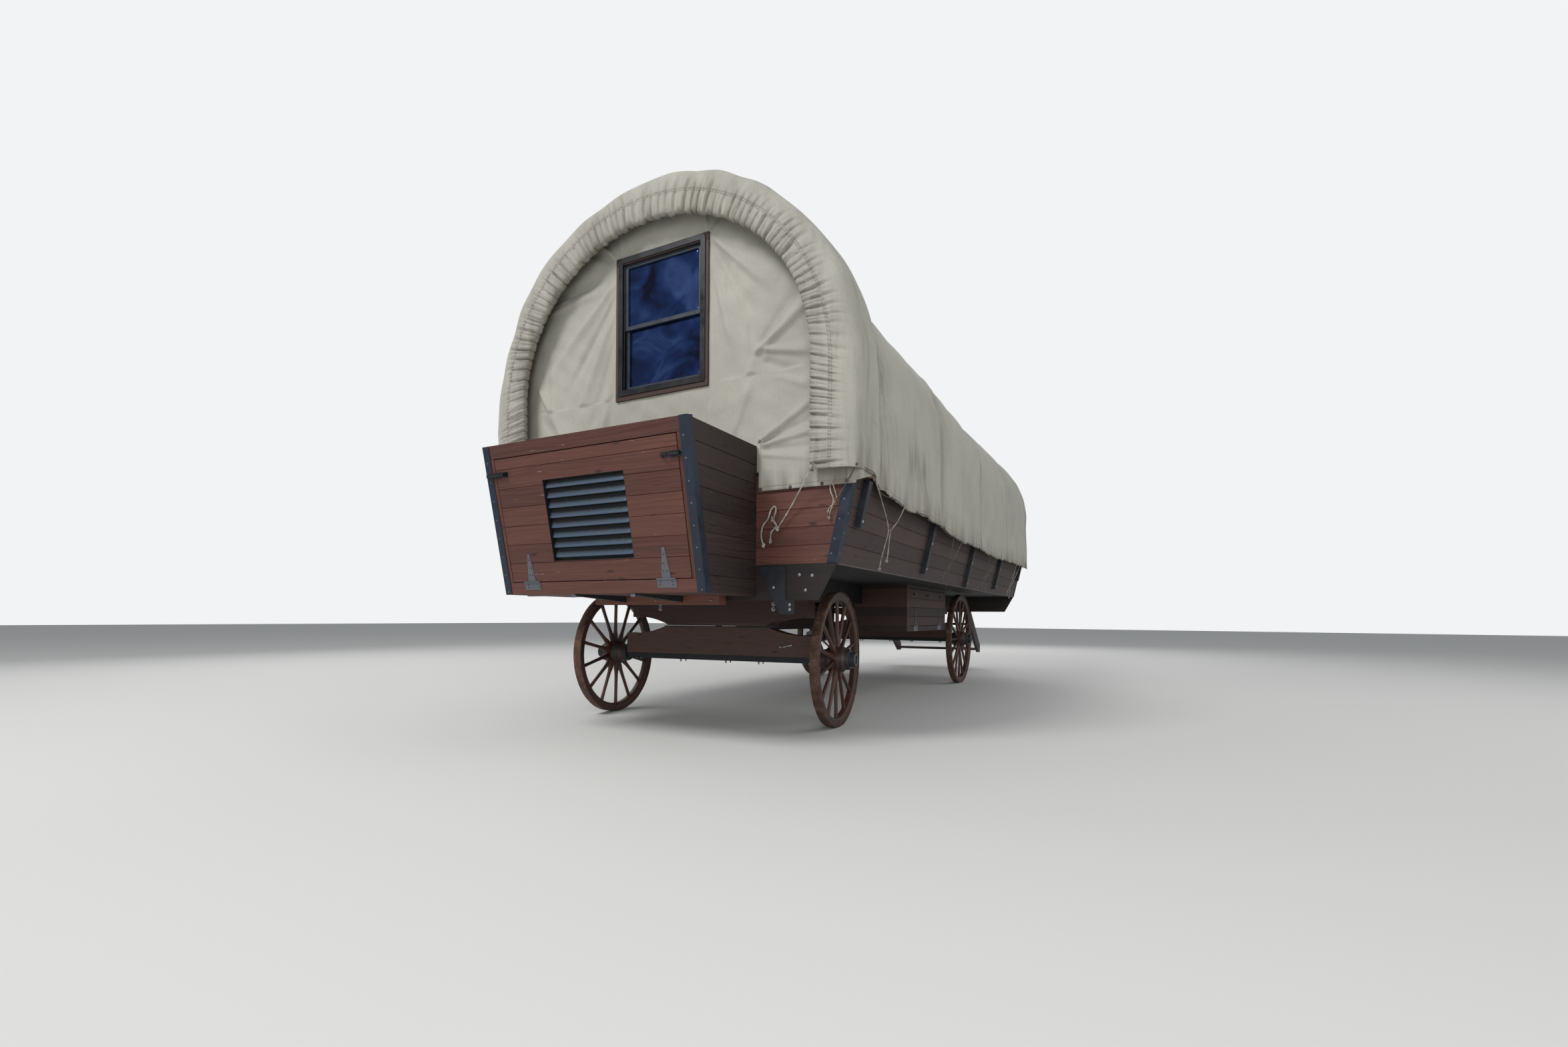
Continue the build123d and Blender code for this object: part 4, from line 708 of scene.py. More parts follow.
def crease(x, z, start, end, deep, wide):
    """A fold along a straight line: deepest near its start, dying towards its end."""
    a, b = np.array(start), np.array(end)
    run = np.linalg.norm(b - a)
    ux, uz = (b - a) / run
    t = ((x - a[0]) * ux + (z - a[1]) * uz) / run
    off = -(x - a[0]) * uz + (z - a[1]) * ux
    wide = wide * (0.5 + 0.8 * np.clip(t, 0, 1))
    ends = smooth_step(t, -0.06, 0.06) * (1 - smooth_step(t, 0.65, 1.05))
    # steeper on one flank than on the other, as a pulled fold is
    return deep * ends * np.exp(-(off / np.where(off > 0, wide, 0.55 * wide)) ** 2)


# Folds of the front sheet: from, to, depth (out of the face is positive), width
FRONT_FOLDS = (
    ((-0.46, 3.80), (-0.74, 4.10), 0.034, 0.034), ((-0.50, 3.80), (-0.86, 4.02), -0.026, 0.05),
    ((-0.40, 3.80), (-0.43, 4.15), 0.014, 0.03), ((0.43, 3.79), (0.40, 4.15), 0.022, 0.018),
    ((0.44, 3.79), (0.62, 4.05), -0.016, 0.06), ((0.47, 3.74), (1.02, 3.22), 0.028, 0.055),
    ((0.46, 3.70), (0.86, 3.02), -0.024, 0.055), ((0.46, 3.58), (0.70, 2.78), 0.022, 0.050),
    ((0.47, 3.40), (0.55, 2.68), -0.018, 0.050), ((0.47, 3.10), (0.50, 2.40), 0.012, 0.045),
    ((0.86, 2.80), (1.34, 3.14), 0.034, 0.055), ((0.90, 2.88), (1.26, 3.24), -0.032, 0.060),
    ((0.93, 2.82), (1.34, 2.74), 0.030, 0.045), ((0.93, 2.74), (1.30, 2.56), -0.024, 0.050),
    ((0.84, 2.78), (0.72, 2.40), 0.018, 0.060), ((1.02, 2.62), (1.32, 2.50), 0.014, 0.040),
    ((0.93, 2.16), (1.36, 2.44), 0.024, 0.035), ((0.93, 2.14), (1.38, 2.31), -0.020, 0.030),
    ((0.94, 2.12), (1.40, 2.20), 0.024, 0.028), ((0.94, 2.09), (1.40, 2.08), -0.018, 0.028),
    ((0.95, 2.05), (1.40, 1.98), 0.020, 0.030), ((0.95, 1.98), (1.45, 1.88), -0.008, 0.030),
    ((0.64, 2.13), (0.84, 2.66), 0.018, 0.050), ((0.30, 2.13), (0.46, 2.60), -0.012, 0.060),
    ((0.10, 2.14), (0.02, 2.62), 0.012, 0.060), ((-0.16, 2.62), (-0.26, 2.14), 0.010, 0.050),
    ((-0.46, 3.62), (-1.24, 2.94), 0.026, 0.055), ((-0.46, 3.52), (-1.04, 2.74), -0.024, 0.055),
    ((-0.46, 3.40), (-0.90, 2.54), 0.024, 0.055), ((-0.46, 3.20), (-0.78, 2.34), -0.020, 0.055),
    ((-0.46, 3.00), (-0.66, 2.20), 0.020, 0.050), ((-0.50, 2.70), (-0.60, 2.14), -0.014, 0.050),
    ((-1.32, 2.86), (-0.86, 2.10), 0.026, 0.060), ((-1.30, 2.66), (-0.98, 2.06), -0.022, 0.060),
    ((-1.28, 3.60), (-0.56, 3.68), -0.030, 0.060), ((-1.20, 3.50), (-0.60, 3.58), 0.018, 0.050),
)
WINDOW_HALF, WINDOW_LOW, WINDOW_HIGH = 0.418, 2.671, 3.759


def end_grid(levels, opening, columns, rise, seed):
    """The grid of an end sheet round an opening: x and z, half the sheet's width, the face's y, and how far
    the cloth is pushed in before its folds. rise is how high its arch stands over its spring."""
    z = np.concatenate([[levels[0][0]], *[np.linspace(*level)[1:] for level in levels]])[:, None]
    half = np.where(z < SPRING, 1.685, 1.685 * np.sqrt(np.clip(1 - ((z - SPRING) / rise) ** 2, 0.0004, 1)))
    half = np.minimum(half, BODY_HALF + FLARE * (z - BODY_BOTTOM) + 0.03 + 4 * np.clip(z - 1.99, 0, 1))
    gap = np.minimum(opening, half * 0.5)
    inner, outer = np.linspace(-1, 1, columns[0])[None, :], np.linspace(0, 1, columns[1])[None, 1:]
    right = gap + (half - gap) * outer
    x = np.concatenate([-right[:, ::-1], inner * gap, right], 1)
    z = np.broadcast_to(z, x.shape)
    push = 0.005 * waves(seed, 9, 0.5, x, z) + 0.0025 * waves(seed + 1, 9, 0.17, x, z)
    return x, z, half, -0.012 + 0.066 * smooth_step(z, 1.93, 2.42), push


def front_sheet():
    """Canvas over the front panel, drawn tight from the window's corners and from the flap's grommets."""
    levels = ((1.795, WINDOW_LOW, 70), (WINDOW_LOW, WINDOW_HIGH, 85), (WINDOW_HIGH, 4.225, 36))
    x, z, half, y, push = end_grid(levels, WINDOW_HALF, (61, 84), 1.695, 21)
    beside = smooth_step(np.abs(x), 0.906, 0.926)
    y = np.where(z < 2.15, np.maximum(y, 0.008) * (1 - beside) + y * beside, y)
    for start, end, deep, wide in FRONT_FOLDS:
        push = push + crease(x, z, start, end, deep, wide)
    loose = smooth_step(z, 1.86, 2.14) * (0.2 + 0.8 * smooth_step(np.abs(x) - WINDOW_HALF, 0.03, 0.16))
    loose = np.where(z < WINDOW_LOW, smooth_step(z, 1.86, 2.14) * smooth_step(WINDOW_LOW - z + 0.03, 0, 0.2), loose)
    loose = np.maximum(loose, smooth_step(z, WINDOW_HIGH, WINDOW_HIGH + 0.1))
    y = y - np.clip(push, -0.022, 0.075) * loose
    y = np.minimum(y, 0.076)
    low = np.where(np.abs(x) < 0.915, 1.93, 1.79)
    inside = np.zeros(x.shape, bool)
    inside[:-1, :-1] = ((x[:-1, 1:] < WINDOW_HALF + 0.002) & (x[:-1, :-1] > -WINDOW_HALF - 0.002)
                        & (z[:-1, :-1] > WINDOW_LOW - 0.002) & (z[:-1, :-1] < WINDOW_HIGH - 0.002))
    keep = (z >= low - 1e-6) & ~inside
    outer_face = np.stack([x, y, z], -1)
    uv = np.stack([x, z], -1)
    edge = np.where(z < 2.15, np.abs(np.abs(x) - 0.945), 1.0)
    seam = np.minimum(np.where(np.abs(x) > 0.93, np.abs(z - 1.822), 1.0), edge)
    # darker towards the bottom, and painted shade along the sheet's outer edge behind the ring
    dirt_and_shade = 0.5 * smooth_step(-z, -2.0, -1.8) + 0.35 * np.exp(-((half - np.abs(x)) / 0.10) ** 2)
    return cloth_shell("canvas_front_sheet", outer_face, uv, 0.0025, "canvas_end_sheets", keep, seam, dirt_and_shade)


REAR_FOLDS = (
    ((0.48, 3.38), (0.80, 3.62), 0.026, 0.030), ((0.48, 3.30), (1.20, 2.70), 0.022, 0.06),
    ((0.50, 3.10), (1.10, 2.50), -0.020, 0.06), ((0.50, 2.80), (1.25, 2.25), 0.018, 0.06),
    ((1.32, 2.62), (1.0, 2.02), -0.018, 0.06), ((0.55, 2.44), (0.72, 2.00), 0.016, 0.05),
    ((1.10, 3.10), (1.45, 2.75), -0.018, 0.06), ((1.00, 2.10), (1.42, 2.30), 0.018, 0.03),
)


def rear_sheet():
    """Canvas over the rear panel, cut away round the door."""
    levels = ((1.795, 3.400, 90), (3.400, REAR_CROWN - 0.035, 26))
    x, z, _, y, push = end_grid(levels, 0.460, (21, 80), REAR_CROWN - 0.02 - SPRING, 31)
    for side in (1, -1):
        for start, end, deep, wide in REAR_FOLDS:
            push = push + crease(x * side, z, start, end, deep, wide)
    loose = smooth_step(z, 1.86, 2.14) * smooth_step(np.maximum(np.abs(x) - 0.46, z - 3.4), 0.03, 0.14)
    y = np.minimum(y - np.clip(push, -0.022, 0.06) * loose, 0.076)
    inside = np.zeros(x.shape, bool)
    inside[:-1, :-1] = (x[:-1, 1:] < 0.462) & (x[:-1, :-1] > -0.462) & (z[:-1, :-1] < 3.398)
    keep = ~inside
    # the grid is turned round for this end, so each cell's own corner moves to its other side
    keep[:, 1:] = keep[:, :-1].copy()
    outer_face = np.stack([x, BODY_LENGTH - y, z], -1)[:, ::-1]
    uv = np.stack([x, z], -1)[:, ::-1]
    edge = np.abs(z - 1.822)[:, ::-1]
    dirt_and_shade = (0.5 * smooth_step(-z, -2.0, -1.8) + 0 * x)[:, ::-1]
    return cloth_shell("canvas_rear_sheet", outer_face, uv, 0.0025, "canvas_end_sheets", keep[:, ::-1], edge, dirt_and_shade)


corners = {end: [flap_corner(end, side) for _, side in SIDES] for end in ("front", "rear")}
cover, cover_grid, cover_places, cover_turns = side_cover()
front_bonnet, front_ring = bonnet("canvas_front_bonnet", FRONT_CROWN, False, 41)
rear_bonnet, rear_ring = bonnet("canvas_rear_bonnet", REAR_CROWN, True, 47)
front_cloth = front_sheet()
rear_cloth = rear_sheet()


def open_tree(name, sizes):
    """A Geometry Nodes tree with named inputs, its finish always one of them: what adds a node to it, its
    inputs, and what ends it in a plain mesh with that finish."""
    tree = bpy.data.node_groups.new(name, "GeometryNodeTree")
    put = functools.partial(add, tree)
    for label, kind in (("Geometry", "Geometry"), ("Finish", "Material"), *sizes):
        tree.interface.new_socket(label, in_out="INPUT", socket_type=f"NodeSocket{kind}")
    tree.interface.new_socket("Geometry", in_out="OUTPUT", socket_type="NodeSocketGeometry")
    given = put("NodeGroupInput", out=None).outputs

    def close(instances):
        real = put("RealizeInstances", {0: instances})
        done = put("SetMaterial", {"Geometry": real, "Material": given["Finish"]})
        put("NodeGroupOutput", {0: done}, out=None)
        return tree

    return put, given, close


def outward_turn(put):
    """Turns a piece's Z to each point's own outward direction."""
    outward = put("InputNamedAttribute", {"Name": "outward"}, data_type="FLOAT_VECTOR")
    return put("AlignRotationToVector", {"Vector": outward}, axis="Z")


def head_tree(name, parts):
    """Fastener heads on points, each along its point's own outward direction. Parts are drawn for a head
    of radius 1: sides, radius, height and how far they start above the surface."""
    put, given, close = open_tree(name, (("Head radius", "Float"),))
    shapes = []
    for sides, radius, height, start in parts:
        if sides:
            drum = put("MeshCylinder", {"Vertices": sides, "Radius": radius, "Depth": height})
            lift = (0, 0, start + height / 2)
            shapes.append(put("Transform", {"Geometry": drum, "Translation": lift}))
        else:
            dome = put("MeshUVSphere", {"Segments": 12, "Rings": 6, "Radius": radius})
            flat = {"Geometry": dome, "Translation": (0, 0, start), "Scale": (1, 1, height)}
            shapes.append(put("Transform", flat))
    head = put("JoinGeometry", out=None)
    for shape in reversed(shapes):
        head.id_data.links.new(shape, head.inputs[0])
    placed = put("InstanceOnPoints", {"Points": given["Geometry"], "Instance": head.outputs[0],
                                      "Rotation": outward_turn(put), "Scale": given["Head radius"]})
    return close(placed)


def stitch_tree():
    """Thread along the edges of a line, as short rods with gaps."""
    put, given, close = open_tree("stitches", (("Pitch", "Float"), ("Thread", "Float")))
    line = put("MeshToCurve", {0: given["Geometry"]})
    spots = put("CurveToPoints", {"Curve": line, "Length": given["Pitch"]}, out=None, mode="LENGTH")
    rod = put("MeshCylinder", {"Vertices": 5, "Radius": 1.0, "Depth": 1.0})
    turn = put("AlignRotationToVector", {"Vector": spots.outputs["Tangent"]}, axis="Z")
    run = put("Math", {0: given["Pitch"], 1: 0.62}, operation="MULTIPLY")
    size = put("CombineXYZ", {0: given["Thread"], 1: given["Thread"], 2: run})
    placed = put("InstanceOnPoints",
                 {"Points": spots.outputs["Points"], "Instance": rod, "Rotation": turn, "Scale": size})
    return close(placed)


def ring_tree():
    """Pressed eyelets: a round wire ring on each point, square to its outward direction."""
    put, given, close = open_tree("eyelets", (("Ring radius", "Float"), ("Wire radius", "Float")))
    path = put("CurvePrimitiveCircle", {"Resolution": 16, "Radius": given["Ring radius"]})
    wire = put("CurvePrimitiveCircle", {"Resolution": 6, "Radius": given["Wire radius"]})
    ring = put("CurveToMesh", {"Curve": path, "Profile Curve": wire})
    placed = put("InstanceOnPoints",
                 {"Points": given["Geometry"], "Instance": ring, "Rotation": outward_turn(put)})
    return close(placed)


def round_tree():
    """Copies of one piece round the hub's axle, X, each with its own board number. Every second one can
    be turned over, as staggered spokes are."""
    put, given, close = open_tree("round_the_hub", (("Count", "Int"), ("Turned over", "Float"), ("First board", "Int")))
    spots = put("Points", {"Count": given["Count"]})
    index = put("InputIndex")
    part = put("Math", {0: math.tau, 1: given["Count"]}, operation="DIVIDE")
    angle = put("Math", {0: index, 1: part}, operation="MULTIPLY")
    turn = put("CombineXYZ", {0: angle})
    odd = put("Math", {0: index, 1: 2.0}, operation="MODULO")
    over = put("Math", {0: odd, 1: given["Turned over"]}, operation="MULTIPLY")
    flip = put("Math", {0: over, 1: -2.0, 2: 1.0}, operation="MULTIPLY_ADD")
    size = put("CombineXYZ", {0: flip, 1: 1.0, 2: 1.0})
    placed = put("InstanceOnPoints",
                 {"Points": spots, "Instance": given["Geometry"], "Rotation": turn, "Scale": size})
    number = put("Math", {0: index, 1: given["First board"]}, operation="ADD")
    marked = put("StoreNamedAttribute", {"Geometry": placed, "Name": "board", "Value": number},
                 data_type="FLOAT", domain="INSTANCE")
    return close(marked)


def row_tree():
    """Copies of one piece in a row, a fixed step apart."""
    put, given, close = open_tree("in_a_row", (("Count", "Int"), ("Step", "Vector")))
    line = put("MeshLine", {"Count": given["Count"], "Offset": given["Step"]}, mode="OFFSET")
    placed = put("InstanceOnPoints", {"Points": line, "Instance": given["Geometry"]})
    return close(placed)


TREES = {
    "screws": head_tree("screw_heads", ((0, 1.0, 0.55, 0.0),)),
    "bolts": head_tree("bolt_heads", ((20, 1.0, 0.14, 0.0), (6, 0.66, 0.48, 0.14), (12, 0.34, 0.30, 0.62))),
    "carriage": head_tree("carriage_heads", ((20, 1.0, 0.12, 0.0), (0, 0.82, 0.62, 0.12))),
    "washers": head_tree("hub_washers", ((24, 1.0, 0.10, 0.0), (6, 0.62, 0.40, 0.10), (10, 0.36, 0.35, 0.50))),
    "stitches": stitch_tree(),
    "eyelets": ring_tree(),
    "round": round_tree(),
    "row": row_tree(),
}


def grown(name, base, tree, finish, sizes):
    """Runs a tree on a base mesh and keeps what it makes as a plain mesh."""
    carrier = bpy.data.objects.new(f"{name}_base", base)
    bpy.context.scene.collection.objects.link(carrier)
    modifier = carrier.modifiers.new("grow", "NODES")
    modifier.node_group = TREES[tree]
    given = {"Finish": MATERIALS[finish], **sizes}
    for socket in TREES[tree].interface.items_tree:
        if socket.in_out == "INPUT" and socket.name in given:
            modifier[socket.identifier] = given[socket.name]
    ready = carrier.evaluated_get(bpy.context.evaluated_depsgraph_get())
    made = bpy.data.meshes.new_from_object(ready)
    carrier.modifiers.remove(modifier)
    bpy.data.objects.remove(carrier)
    bpy.data.meshes.remove(base)
    made.name = name
    return made


def spots_mesh(name, spots, outward, edges=()):
    """Points, y from the front wall, each with its outward direction."""
    points = np.asarray(spots, float) + (0.0, FRONT, 0.0)
    mesh = mesh_of(name, points, (), edges)
    mark(mesh, "outward", np.broadcast_to(np.asarray(outward, float), points.shape))
    return mesh


def fasteners(name, kind, spots, outward, radius, body, slot, finish="zinc"):
    base = spots_mesh(name, spots, outward)
    return shown(grown(name, base, kind, finish, {"Head radius": radius}), body, slot)


def stitches(name, lines):
    """Rows of thread, drawn 13 mm long because the real 4 mm stitches are too fine to show."""
    points = np.concatenate(lines)
    edges, start = [], 0
    for line in lines:
        edges += [(start + i, start + i + 1) for i in range(len(line) - 1)]
        start += len(line)
    base = spots_mesh(name, points, (0, 0, 1), edges)
    return shown(grown(name, base, "stitches", "thread", {"Pitch": 0.013, "Thread": 0.0011}), "wagon", "canvas")


def eyelets(name, spots, outward, radius=0.010, wire=0.0032):
    base = spots_mesh(name, spots, outward)
    sizes = {"Ring radius": radius, "Wire radius": wire}
    return shown(grown(name, base, "eyelets", "eyelet", sizes), "wagon", "canvas")


def proud(grid, height=0.001):
    return grid + normals_of(grid) * height


def index_of(values, wanted):
    return int(np.argmin(np.abs(values - wanted)))


def cover_spot(y, above, side, height):
    """A point on the side cover, that far above its hem, and the way out there."""
    row, column = index_of(cover_places, y), index_of(cover_turns * GIRTH, above)
    column = column if side > 0 else len(cover_turns) - 1 - column
    out = cover_ways[row, column]
    return cover_grid[row, column] + out * height, out


cover_ways = normals_of(cover_grid)
sewn = proud(cover_grid)
hem_column = index_of(cover_turns * GIRTH, 0.050)
seam_rows = [index_of(cover_places, place) for place in (0.385, 1.998, 3.773, 5.515, 5.541)]
stitch_lines = [sewn[:, hem_column], sewn[:, -1 - hem_column], *[sewn[row] for row in seam_rows]]
side_thread = stitches("thread_side_cover", stitch_lines)
for label, ring in (("front", front_ring), ("rear", rear_ring)):
    rows = [proud(ring, 0.0008)[len(ring) - 1 - row] for row in STITCH_ROWS]
    stitches(f"thread_{label}_bonnet", rows)
hem_eyelets = [cover_spot(y, 0.018, side, 0.001) for _, side in SIDES for y in EYELETS]
eyelets("eyelets_hem", [spot for spot, _ in hem_eyelets], [way for _, way in hem_eyelets])
FLAP_GROMMETS = ((0.930, 2.150), (0.945, 1.808), (1.180, 1.806), (1.420, 1.808), (1.600, 1.815))
for label, face, way in (("front", -0.0135, -1), ("rear", BODY_LENGTH + 0.0135, 1)):
    spots = [(side * x, face, z) for _, side in SIDES for x, z in FLAP_GROMMETS]
    eyelets(f"eyelets_{label}_flap", spots, (0, way, 0), radius=0.009, wire=0.003)
    held = [(side * x, face, z) for _, side in SIDES for x, z in FLAP_GROMMETS[1:4]]
    tops = [(side * 0.930, face, 2.150) for _, side in SIDES]
    fasteners(f"washers_{label}_flap", "washers", tops, (0, way, 0), 0.0135, "wagon", "black_steel")
    fasteners(f"screws_{label}_flap", "screws", held, (0, way, 0), 0.0065, "wagon", "black_steel", "dull_zinc")
    hem = [[(side * x, face + way * 0.001, 1.826) for x in np.linspace(0.94, 1.60, 45)] for _, side in SIDES]
    edge = [[(side * 0.941, face + way * 0.001, z) for z in np.linspace(1.826, 2.13, 24)] for _, side in SIDES]
    lines = [*hem, *edge] if label == "front" else hem
    stitches(f"thread_{label}_flap", [np.array(line) for line in lines])
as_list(corners["front"])
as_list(corners["rear"])


def lathe(profile, segments, start=0.0, sweep=math.tau):
    """Turns a closed outline of (x, radius) about the X axis."""
    closed = abs(sweep - math.tau) < 1e-6
    steps = segments if closed else segments + 1
    angles = start + sweep * np.arange(steps) / segments
    points = [(x, r * math.cos(a), r * math.sin(a)) for a in angles for x, r in profile]
    return np.array(points), rings_between(steps, len(profile), closed)


def merge(parts):
    """Joins (points, faces, grain, board) parts into one set."""
    points, faces, grain, board, base = [], [], [], [], 0
    for part_points, part_faces, part_grain, number in parts:
        points.append(part_points)
        faces += [[v + base for v in face] for face in part_faces]
        grain.append(part_grain)
        board.append(np.full(len(part_points), float(number)))
        base += len(part_points)
    return np.concatenate(points), faces, np.concatenate(grain), np.concatenate(board)


def steered(points):
    """Turns points given for a straight front axle by the angle at which it stands."""
    pin = np.array((0.0, FRONT_AXLE, 0.0))
    c, s = math.cos(STEERED), math.sin(STEERED)
    return (np.asarray(points) - pin) @ np.array(((c, s, 0), (-s, c, 0), (0, 0, 1))) + pin


def give_grain(mesh, grain, board=None):
    mark(mesh, "grain", grain)
    if board is not None:
        mark(mesh, "board", board)


def fix_normals(made):
    work = bmesh.new()
    work.from_mesh(made.data)
    bmesh.ops.remove_doubles(work, verts=work.verts, dist=1e-6)
    bmesh.ops.recalc_face_normals(work, faces=work.faces)
    work.to_mesh(made.data)
    work.free()


def spoke(radius_in, radius_out, stagger):
    """A shaved spoke: square at the hub, oval along its length, round where it enters the felloe."""
    # part of the length, half across the wheel, half along the axle, how square
    stations = (
        (0.0, 0.0225, 0.0165, 6), (0.16, 0.0225, 0.0165, 6), (0.19, 0.0210, 0.0158, 4.4), (0.24, 0.0185, 0.0152, 3),
        (0.30, 0.0165, 0.0150, 2.6), (0.45, 0.0150, 0.0150, 2.2), (0.75, 0.0145, 0.0150, 2), (0.90, 0.0160, 0.0160, 2),
        (1.0, 0.0170, 0.0170, 2),
    )
    sides = 14
    points, grain = [], []
    for part, wide, deep, square in stations:
        r = radius_in + (radius_out - radius_in) * part
        for k in range(sides):
            a = math.tau * (k + 0.5) / sides
            c, s = math.cos(a), math.sin(a)
            c = math.copysign(abs(c) ** (2 / square), c)
            s = math.copysign(abs(s) ** (2 / square), s)
            points.append((stagger * (1 - part) + deep * s, wide * c, r))
            grain.append((r, wide * c, deep * s))
    return np.array(points), rings_between(len(stations), sides), np.array(grain)


def round_hub(name, points, faces, grain, count, turned_over, first):
    base = mesh_of(f"{name}_one", points, faces)
    give_grain(base, grain)
    sizes = {"Count": count, "Turned over": turned_over, "First board": first}
    return grown(name, base, "round", "wheel_wood", sizes)


TYRE_THICK, FELLOE_DEEP = 0.012, 0.062
HUB_BANDS = (
    ((-0.160, 0.040), (-0.160, 0.072), (-0.157, 0.074), (-0.128, 0.080), (-0.126, 0.078), (-0.126, 0.040)),
    ((-0.078, 0.070), (-0.078, 0.092), (-0.060, 0.103), (-0.052, 0.106), (-0.050, 0.104), (-0.050, 0.070)),
    ((0.050, 0.070), (0.050, 0.104), (0.052, 0.106), (0.066, 0.102), (0.068, 0.097), (0.068, 0.070)),
    ((0.096, 0.040), (0.096, 0.085), (0.099, 0.088), (0.122, 0.082), (0.124, 0.078), (0.124, 0.062),
     (0.128, 0.060), (0.160, 0.058), (0.168, 0.055), (0.170, 0.050), (0.170, 0.036), (0.158, 0.034), (0.158, 0.040)),
    ((0.118, 0.0), (0.118, 0.030), (0.160, 0.030), (0.165, 0.026), (0.165, 0.0)),
)


def wheel(name, side, axle, radius, spokes, turned):
    """One wheel about its own axle: tyre, felloes, spokes, nave, bands, and the rivets between them."""
    body = f"{name}_wheel"
    tyre_in = radius - TYRE_THICK
    felloe_in = tyre_in - FELLOE_DEEP
    centre = np.array((side * TRACK_HALF, axle, radius))
    swing = STEERED if turned else 0.0
    if turned:
        centre = steered(centre)
    c, s = math.cos(swing), math.sin(swing)
    turn = np.array(((c, s, 0), (-s, c, 0), (0, 0, 1)))

    def placed(points):
        return (np.array(points) * (side, 1, 1)) @ turn + centre

    tyre_line = ((-0.038, radius - 0.002), (-0.034, radius), (0.034, radius), (0.038, radius - 0.002),
                 (0.038, tyre_in + 0.001), (0.037, tyre_in), (-0.037, tyre_in), (-0.038, tyre_in + 0.001))
    points, faces = lathe(tyre_line, 120)
    # the tread is a little hammered and bruised
    bruise = 0.0006 * waves(7, 12, 0.05, points[:, 1], points[:, 2])
    points[:, 1:] *= (1 + (bruise / radius))[:, None]
    tyre = piece(f"tyre_steel_{name}", placed(points), faces, "tyre", body, "tyre_steel")
    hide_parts(f"tyre_{name}")

    half = 0.031
    felloe_line = ((-half, tyre_in - 0.0004), (half, tyre_in - 0.0004), (half, felloe_in + 0.016),
                   (half - 0.007, felloe_in + 0.004), (half - 0.016, felloe_in), (-half + 0.016, felloe_in),
                   (-half + 0.007, felloe_in + 0.004), (-half, felloe_in + 0.016))
    felloes = spokes // 2
    gap = 0.0012 / felloe_in
    points, faces = lathe(felloe_line, 16, math.tau * 0.25 / felloes + gap, math.tau / felloes - 2 * gap)
    angle = np.arctan2(points[:, 2], points[:, 1])
    grain = np.stack([angle * tyre_in, np.hypot(points[:, 1], points[:, 2]), points[:, 0]], 1)
    rim = round_hub(f"felloes_{name}", points, faces, grain, felloes, 0.0, 100)
    points, faces, grain = spoke(0.098, felloe_in + 0.004, 0.008)
    arms = round_hub(f"spokes_{name}", points, faces, grain, spokes, 1.0, 0)
    for mesh in (rim, arms):
        flat = np.zeros(len(mesh.vertices) * 3)
        mesh.vertices.foreach_get("co", flat)
        mesh.vertices.foreach_set("co", (placed(flat.reshape(-1, 3)) + (0, FRONT, 0)).ravel())
        mesh.update()
        wood = shown(mesh, body, "wheel_wood")
        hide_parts(f"wheel_{name}")
        fix_normals(wood)

    barrel = ((-0.158, 0.0), (-0.158, 0.066), (-0.120, 0.076), (-0.085, 0.084), (-0.060, 0.098), (-0.050, 0.104),
              (0.050, 0.104), (0.060, 0.100), (0.080, 0.090), (0.112, 0.080), (0.122, 0.074), (0.122, 0.0))
    points, faces = lathe(barrel, 48)
    angle = np.arctan2(points[:, 2], points[:, 1])
    grain = np.stack([points[:, 0], angle * 0.1, np.hypot(points[:, 1], points[:, 2])], 1)
    nave = piece(f"nave_wood_{name}", placed(points), faces, "wheel_wood", body, "wheel_wood")
    give_grain(nave.data, grain, np.full(len(points), 7.0))
    points, faces = merge([(*lathe(line, 48), np.zeros((1, 3)), 0) for line in HUB_BANDS])[:2]
    iron = piece(f"hub_bands_{name}", placed(points), faces, "hub_iron", body, "hub_iron", smooth=False)
    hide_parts(f"hub_{name}")
    # the worn rim of the axle cap
    ring_line = ((0.1655, 0.037), (0.171, 0.039), (0.1725, 0.044), (0.171, 0.049), (0.1655, 0.051))
    points, faces = lathe(ring_line, 48)
    worn = piece(f"hub_worn_ring_{name}", placed(points), faces, "dull_zinc", body, "hub_iron")
    for made in (tyre, nave, iron, worn):
        fix_normals(made)
    spots = []
    # a rivet in the felloe beside each spoke's end, and six in the nave's outer band
    for count, start, x, reach in ((spokes, 0.5, 0.031, felloe_in + 0.030), (6, 0.25, 0.0675, 0.0985)):
        angles = [math.tau * (index + start) / count for index in range(count)]
        spots += [(x, reach * math.cos(a), reach * math.sin(a)) for a in angles]
    spots, ways = placed(spots), Vector((side * c, side * s, 0))
    fasteners(f"felloe_rivets_{name}", "screws", spots, ways, 0.006, body, "hub_iron", "hub_iron")


for row in WHEELS:
    wheel(*row)


def board(low, high, ease, along=0, number=0):
    """A board or bar with eased edges between two corners, as a part for merge. along is the axis of its
    grain."""
    work = bmesh.new()
    bmesh.ops.create_cube(work, size=1.0)
    low, high = np.array(low, float), np.array(high, float)
    for vertex in work.verts:
        vertex.co = Vector(low + (np.array(vertex.co) + 0.5) * (high - low))
    bmesh.ops.bevel(work, geom=list(work.edges), offset=ease, segments=2, profile=0.6, affect="EDGES")
    work.verts.index_update()
    points = np.array([vertex.co for vertex in work.verts])
    faces = [[vertex.index for vertex in face.verts] for face in work.faces]
    work.free()
    others = [axis for axis in range(3) if axis != along]
    return points, faces, points[:, [along, *others]], number


def joined(name, parts, finish, body, slot, smooth=False, move=None, replaced=None):
    """Parts joined in one piece, moved there first if they were drawn elsewhere."""
    if move:
        parts = [(move(points), *rest) for points, *rest in parts]
    points, faces, grain, boards = merge(parts)
    made = piece(name, points, faces, finish, body, slot, smooth)
    give_grain(made.data, grain, boards)
    if replaced:
        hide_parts(replaced)
    return made


